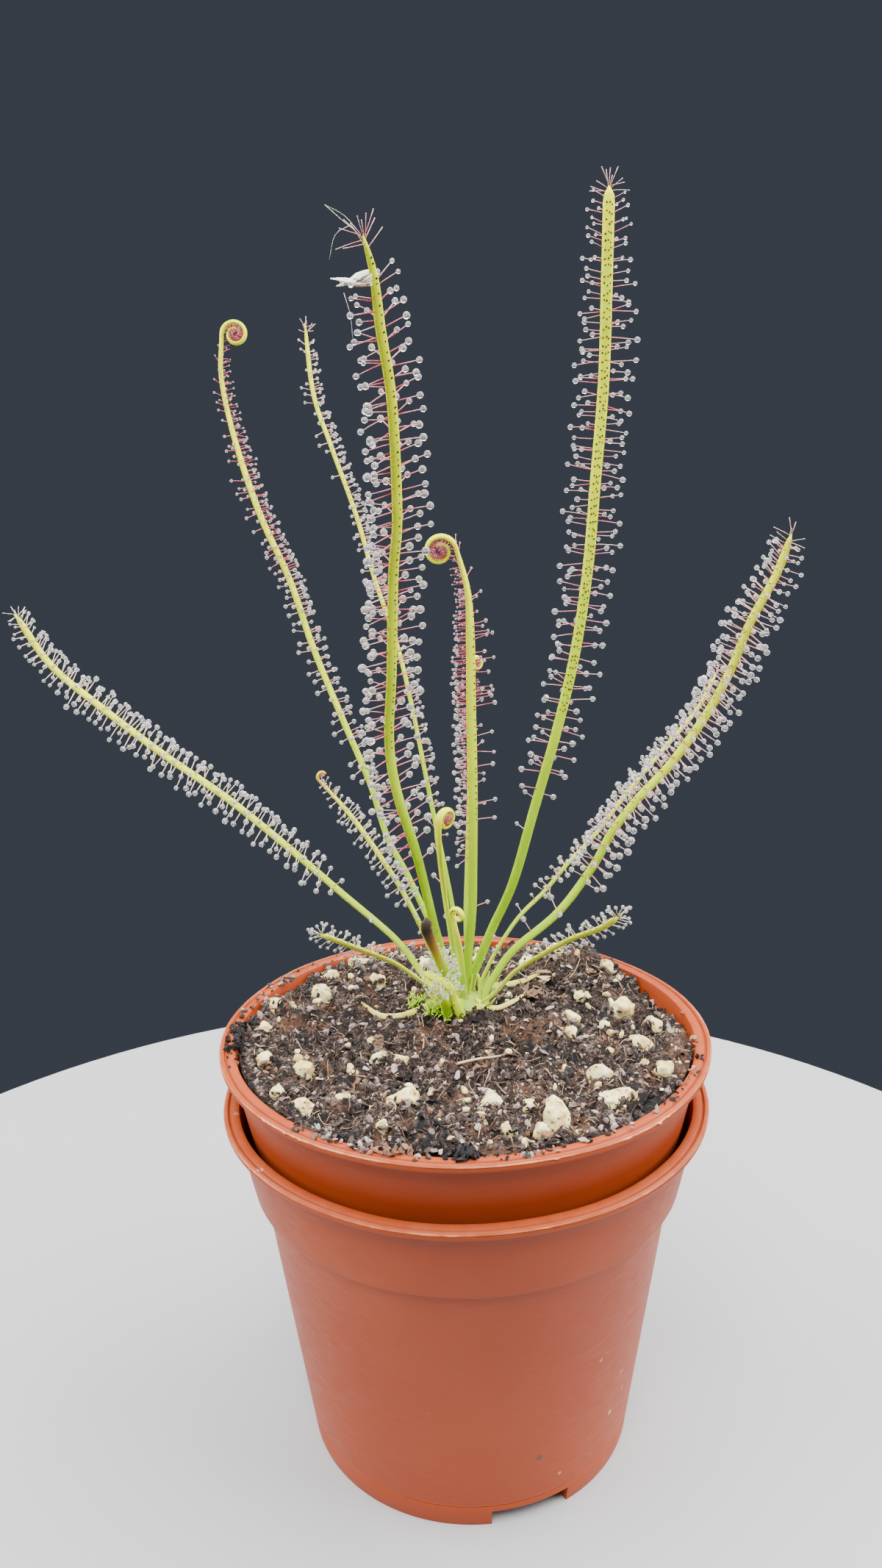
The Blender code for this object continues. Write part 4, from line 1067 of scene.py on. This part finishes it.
def hair_stations(frond, lines, draw):
    """Root, aim, length, drop size and redness of each hair of a frond."""
    line, faces, stem_count = lines[frond.name]
    if not frond.crowding:
        return []
    hairs = []
    last = stem_count - 1
    length = last * BLADE_SPACING

    def frame_at(distance):
        number = min(last - 1, max(1, int(distance / BLADE_SPACING)))
        step = min(1.0, distance / BLADE_SPACING - number)
        return line[number].lerp(line[number + 1], step), *turned_frame(line, faces, number)

    for angle, spacing, part in HAIR_ROWS:
        distance = frond.bare * length + draw.uniform(0, spacing)
        spacing /= frond.crowding
        number = draw.randrange(2)
        end = length if frond.coil else length - 0.4 * frond.point
        end = min(end, length * HAIR_END.get(frond.name, 1.0))
        kept, stretch = THIN_SIDES.get(frond.name, (1.0, 1.0)) if angle < 0 else (1.0, 1.0)
        while distance < end:
            share = distance / length
            number += 1
            thin_out = 0.06 + 0.94 * max(0.0, min(1.0, (share - frond.dense + 0.06) / 0.08))
            if draw.random() < thin_out * kept:
                at, along, face, edge = frame_at(distance)
                turn = radians(angle + draw.gauss(0, 5))
                uneven = (1.0, 0.78)[number % 2] if abs(angle) > 60 else 1.0
                reach = frond.long * part * uneven * stretch * draw.uniform(0.86, 1.06)
                past = max(0.0, (share - TIP_FROM) / (1 - TIP_FROM))
                near_tip = past if frond.name not in CLUBBED else 0.0
                reach *= 1 - 0.35 * near_tip
                drop = frond.drop * (0.75 + 0.25 * part) * draw.uniform(0.78, 1.12)
                drop *= 1.08 - 0.3 * max(0.0, (share - 0.4) / 0.6) - 0.3 * near_tip
                lean = draw.gauss(0.02, 0.1) + 0.5 * past
                aim = (face * cos(turn) + edge * sin(turn) + lean * along).normalized()
                young = max(0.0, (share - 0.55) / 0.45) if frond.name in YOUNG else 0.0
                drop *= 1 - (0.5 if stretch == 1.0 else 0.15) * young
                blush = CRIMSON if young > 0.25 else min(1.0, frond.blush * draw.uniform(0.7, 1.2))
                reach += blade_width(frond, distance, length, 0) * 0.7
                hairs.append((at, aim, reach, drop, blush))
            crowded = max(0.0, 1 - (share - frond.dense) / 0.35)
            if frond.name in YOUNG and share > 0.6:
                crowded = -0.6
            distance += spacing * draw.uniform(0.82, 1.18) * (1 + 0.6 * crowded)
    if frond.coil:
        return hairs + coil_hairs(frond, lines, draw)
    if frond.name in HAIR_END:
        return hairs
    fan = TIP_HAIRS if length > 30 else TIP_HAIRS - 2
    for number in range(fan):
        at, along, face, edge = frame_at(length - draw.uniform(0.0, 0.45) * min(5.0, frond.point))
        side = -1 + 2 * number / (fan - 1)
        lean = 0.15 + 2.2 * (1 - abs(side)) ** 2
        aim = (edge * side + face * draw.uniform(-0.1, 0.6) + lean * along).normalized()
        drop = 0.8 * frond.drop if frond.name in CLUBBED else 0.19
        hairs.append((at, aim, frond.short * draw.uniform(0.95, 1.35), drop, frond.blush * 0.75))
    return hairs


def coil_hairs(frond, lines, draw):
    """Short red hairs that point inwards in a coiled tip."""
    line, faces, stem_count = lines[frond.name]
    hairs = []
    side = (line[-1] - line[stem_count]).cross(faces[-2]).normalized()
    along_coil = sum((b - a).length for a, b in zip(line[stem_count:], line[stem_count + 1:]))
    rounds = round(along_coil / COIL_HAIR_STEP)
    for row in (-0.5, 0.0, 0.5):
        for number in range(rounds):
            where = stem_count + (number + draw.random()) / rounds * (len(line) - stem_count - 2)
            low = int(where)
            at = line[low].lerp(line[low + 1], where - low)
            reach = frond.coil[0] * draw.uniform(0.42, 0.62) * (1 - 0.5 * number / rounds)
            aim = (faces[low] + side * row * draw.uniform(0.8, 1.6)).normalized()
            hairs.append((at + side * row * frond.tip, aim, reach + 0.2, 0.16, CRIMSON))
    return hairs


def keep_clear(frond, hairs, lines):
    """Leave out hairs that would run into another frond's blade or the mix."""
    others = [point for name, (line, _, _) in lines.items() if name != frond.name for point in line]
    tree = kdtree.KDTree(len(others))
    for number, point in enumerate(others):
        tree.insert(point, number)
    tree.balance()
    kept = []
    for root, aim, reach, drop, blush in hairs:
        end = root + aim * reach
        free = end.z > soil_height(end.x, end.y) + drop
        for share in (0.5, 0.75, 1.0):
            free = free and tree.find(root + aim * reach * share)[2] > 1.0 + 0.4 * drop * share
        if free:
            kept.append((root, aim, reach, drop, blush))
    return kept


def stalk(bm, root, aim, reach, drop, blush, draw):
    """Add one tapered, slightly bent stalk, and give the place and turn of its end."""
    small = shape("along", "blush")
    sag = Vector((draw.gauss(0, 1), draw.gauss(0, 1), draw.gauss(-0.5, 1))) * 0.035 * reach
    line = [root + aim * reach * share + sag * share ** 2 for share in (0.1, 0.4, 0.72, 1.0)]
    width = STALK_ROOT + STALK_PER_DROP * drop
    widths = width, width * 0.85, width * 0.65, STALK_TIP
    rings = 7.0 if blush == CRIMSON else 3.3
    sweep(small, line, [aim.orthogonal()] * 4, lambda number: (widths[number],) * 2, 4,
          lambda number: {"along": number / rings, "blush": blush})
    absorb(bm, small)
    return Matrix.Translation(line[-1]) @ (line[-1] - line[-2]).to_track_quat("Z", "Y").to_matrix().to_4x4()


def hairs(frond, red, clear, lines):
    """A frond's stalks with their glands, and the drops round the glands."""
    draw = random.Random(100 + frond.slot)
    found = keep_clear(frond, hair_stations(frond, lines, draw), lines)
    if not found:
        return
    stalks = shape("along", "blush")
    drops = bmesh.new()
    for root, aim, reach, drop, blush in found:
        end = stalk(stalks, root, aim, reach, drop, blush, draw)
        ripe = 1.0 if drop > SMALLEST_DROP else 0.42 if blush == CRIMSON else 0.7
        long = end @ Matrix.Diagonal((1, 1, 1.6, 1))
        ball(stalks, max(0.08, 0.085 * drop), 1, long, along=ripe, blush=blush)
        if drop > SMALLEST_DROP:
            ball(drops, drop / 2, 2, end @ Matrix.Diagonal((1, 1, draw.uniform(0.98, 1.16), 1)))
    piece(stalks, frond.name + "_hairs", red)
    piece(drops, frond.name + "_dew", clear)


def withered_leaves(skin, fibre_finish):
    """Dead leaves on the mix: flat, creased straps that twist, and curled brown scraps beside them."""
    for name, width, route in WITHERED:
        points = []
        for x, y in route:
            points.append((x, y, soil_height(x, y) + heap_at(x, y) + width + WITHERED_LIFT))
        bm = shape("along")
        widths = [width * part for part in (0.9, 0.95, 0.75, 0.8, 0.7, 0.45, 0.18)]
        strap(bm, points, widths, lambda share: Vector((0.5 * sin(6 * share), -0.75, 0.65)), 0.2, 10)
        piece(bm, name + "_strap", skin, 50, [name])
    draw = random.Random(51)
    bm = shape("along", "tone")
    for x, y, count, tone in SCRAPS:
        for _ in range(count):
            turn = draw.uniform(0, tau)
            at = Vector((x + draw.gauss(0, 1.0), y + draw.gauss(0, 1.0), 0))
            at.z = soil_height(at.x, at.y) + draw.uniform(0.3, 1.4)
            aim = Vector((cos(turn), sin(turn), draw.uniform(-0.2, 0.5)))
            curl = Vector((-aim.y, aim.x, draw.uniform(-0.3, 0.8)))
            length = draw.uniform(1.4, 3.2)
            points = []
            for share in (0, 0.4, 0.7, 1):
                points.append(at + aim * length * (share - 0.5) + curl * length * 0.5 * share ** 2)
            strap(bm, points, (0.15, 0.5, 0.45, 0.1), curl.cross(aim), 0.07, 6,
                  tone=tone * draw.uniform(0.7, 1.1))
    piece(bm, "dry_scraps", fibre_finish, 40)


def crown(skin, green):
    """The crown: a low body under leaf feet, and pale sheaths that wrap the frond bases."""
    bm = shape("along")
    wide, high = CROWN_RADIUS * 0.93, CROWN_RADIUS * CROWN_SQUASH * 0.95
    made = bmesh.ops.create_uvsphere(bm, u_segments=64, v_segments=24, radius=1.0)["verts"]
    for corner in made:
        x, y, z = corner.co
        flute = 1 + 0.05 * sin(9 * atan2(y, x) + 3 * z) + 0.03 * noise.noise(corner.co * 5)
        corner.co = CROWN_AT + Vector((x * wide * flute, y * wide * flute, z * high))
    draw = random.Random(21)
    for frond in FRONDS:
        root = slot_at(frond.slot)
        lean = (Vector(frond.line[0]) - root).normalized()
        out = Vector((root.x - CROWN_AT.x, root.y - CROWN_AT.y, 0)).normalized()
        height = draw.uniform(2.5, 5.5)
        points = [root + out * 0.5 - 2.6 * UP, root + out * 0.5, root + lean * height * 0.6 + out * 0.8,
                  root + lean * height + out * 0.9]
        strap(bm, points, (0.95, 1.0, 0.75, 0.1), out, 0.12)
    piece(bm, "crown_sheaths", skin, 60, ["crown"])

    bm = shape("along", "pale", "aged", "spot")
    for points in FRONT_FEET:
        strap(bm, points, (0.9, 0.95, 0.8, 0.5), (0.3, -0.9, 0.3), 0.3, 10, pale=0.0, aged=0.0, spot=0.0)
    for number in range(15):
        turn = radians(-155 + 24 * number + draw.uniform(-7, 7))
        out = Vector((cos(turn), sin(turn), 0))
        if out.y < -0.85:
            continue
        foot = CROWN_AT + out * (CROWN_RADIUS - 0.6) - 0.8 * UP
        rise = draw.uniform(4.0, 8.5)
        lean = draw.uniform(-1.2, 1.2) * Vector((-out.y, out.x, 0))
        points = [foot, foot + out * 0.2 + 1.2 * UP, foot - out * 0.9 + lean * 0.5 + 3.0 * UP,
                  foot - out * draw.uniform(1.2, 2.2) + lean + rise * UP]
        strap(bm, points, (0.75, 0.9, 0.75, 0.3), out, 0.3, 10,
              pale=draw.uniform(0.0, 0.35), aged=draw.choice((0.0, 0.0, 0.12)), spot=0.0)
    piece(bm, "leaf_feet", green)


def tip_curls(fibre_finish, lines):
    """Dry curling threads, the old hairs, round the withered frond's dark tip."""
    draw = random.Random(61)
    line = lines["frond_withered_tip"][0]
    bm = shape("tone")
    for number in range(9):
        at = line[-2 - number // 3]
        side = -1 if number % 3 else 1
        reach = side * draw.uniform(1.0, 2.2)
        rise = draw.uniform(-0.5, 0.4)
        points = [at]
        for part, depth, lift in ((0.6, -0.4, 0.3), (1, -0.6, 0), (0.75, -0.4, -0.6)):
            points.append(at + Vector((reach * part, draw.uniform(depth, 0.4), rise + lift)))
        thread(bm, points, 0.07, tone=draw.uniform(0.3, 0.75))
    piece(bm, "withered_tip_curls", fibre_finish)


def moss(green):
    """Moss tufts beside the crown, with narrow pointed leaves."""
    draw = random.Random(31)
    bm = shape("along")
    for x, y, stems, leaf in MOSS_TUFTS:
        wide = 0.1 + 0.06 * leaf
        for _ in range(stems):
            foot = Vector((x + draw.gauss(0, 0.8), y + draw.gauss(0, 0.8), 0))
            foot.z = soil_height(foot.x, foot.y)
            rise = draw.uniform(0.6, 1.5)
            for number in range(9):
                turn = number * 2.4 + draw.uniform(-0.3, 0.3)
                tilt = 0.3 + 1.1 * (number % 4) / 3
                aim = Vector((cos(turn) * tilt, sin(turn) * tilt, 1)).normalized()
                start = foot + Vector((0, 0, rise * number / 12))
                length = leaf * draw.uniform(0.7, 1.3)
                droop = Vector((0, 0, -0.22 * length * tilt))
                points = [start, start + aim * length * 0.5, start + aim * length + droop]
                strap(bm, points, (0.6 * wide, wide, 0.03), aim.cross(UP).cross(aim), 0.07, 4)
    piece(bm, "moss_tufts", green)


def husk(paper, lines):
    """The dry husk of a small insect near the front frond's tip, and web threads round it."""
    line = lines["frond_front"][0]
    at = line[round(len(line) * 0.955)] + Vector((-0.5, -0.5, 0))
    bm = shape("along")
    draw = random.Random(41)
    for number in range(7):
        aim = Vector((-1, draw.uniform(-0.1, 0.3), -0.42 + 0.1 * number)).normalized()
        length = draw.uniform(3.4, 5.4)
        side = Vector((0.1, draw.uniform(-0.9, -0.4), 0.8)).normalized()
        start = at + Vector((0.3, draw.uniform(-0.3, 0.3), 0.6 - 0.28 * number))
        sag = Vector((0, draw.uniform(-0.2, 0.2), draw.uniform(-0.35, 0.35)))
        points = [start + aim * length * share + sag * sin(share * 5) for share in (0, 0.25, 0.5, 0.75, 1)]
        strap(bm, points, (0.2, 0.5, 0.68, 0.45, 0.1), side, 0.05, 6)
    for points in WEB:
        thread(bm, [line[-1] + Vector(point) for point in points], 0.03, along=0.5)
    piece(bm, "insect_husk", paper)


def floor():
    """A plain pale floor, round and wide enough for the soft shadow."""
    look = Look("pale_floor")
    shade = look.ramp(look.grain(3.0, 2.0), (0.3, 0.38), (0.7, 0.41))
    bm = bmesh.new()
    bmesh.ops.create_circle(bm, cap_ends=True, segments=128, radius=FLOOR_RADIUS)
    mesh = bpy.data.meshes.new("floor")
    bm.to_mesh(mesh)
    bm.free()
    mesh.materials.append(look.finish(shade, 0.6))
    shown("floor", mesh)


def studio():
    """Large soft light from above and all four sides, before a dim grey surround."""
    middle = place(0, 0, 90)
    for name, away, size, power, tint in SOFT_BOXES:
        light = bpy.data.lights.new(name, "AREA")
        light.shape = "RECTANGLE"
        light.size, light.size_y = size
        light.energy = power
        light.color = tint
        thing = shown(name, light)
        thing.location = middle + Vector(away)
        thing.rotation_euler = (-Vector(away)).to_track_quat("-Z", "Y").to_euler()
    world = bpy.data.worlds.new("surround")
    world.use_nodes = True
    world.node_tree.nodes["Background"].inputs["Color"].default_value = SURROUND
    world.node_tree.nodes["Background"].inputs["Strength"].default_value = 1.0
    bpy.context.scene.world = world


def camera():
    """The camera of the photograph, seen from slightly above the rim."""
    tilt, roll = radians(CAMERA_TILT), radians(CAMERA_ROLL)
    ahead = Vector((0, cos(tilt), -sin(tilt)))
    level = Vector((1, 0, 0))
    above = level.cross(ahead)
    right = level * cos(roll) + above * sin(roll)
    up = above * cos(roll) - level * sin(roll)
    data = bpy.data.cameras.new("camera")
    data.lens = CAMERA_LENS
    data.sensor_width = SENSOR
    data.clip_start = 0.005
    thing = shown("camera", data)
    turn = Matrix((right, up, -ahead)).transposed().to_4x4()
    thing.matrix_world = Matrix.Translation(place(*CAMERA_AT)) @ turn
    bpy.context.scene.camera = thing


CARRIER = bpy.data.meshes.new("carrier")


def main():
    plastic = pot_plastic()
    pot("outer_pot", 0.0, plastic, 2.0)
    pot("inner_pot", POT_LIFT, plastic, 7.0)
    soil(mix_ground())
    pumice(pumice_stone())
    chips(mix_chips())
    straw, green, red, clear = dry_fibre(), frond_green(), hair_red(), dew()
    fibres(straw)
    crown(sheath_skin(), green)
    moss(moss_green())
    withered_leaves(withered_skin(), straw)
    lines = {frond.name: frond_line(frond) for frond in FRONDS}
    for frond in FRONDS:
        blade(frond, green, lines)
        hairs(frond, red, clear, lines)
    tip_curls(straw, lines)
    husk(husk_paper(), lines)
    floor()
    studio()
    camera()
    bpy.data.meshes.remove(CARRIER)


main()
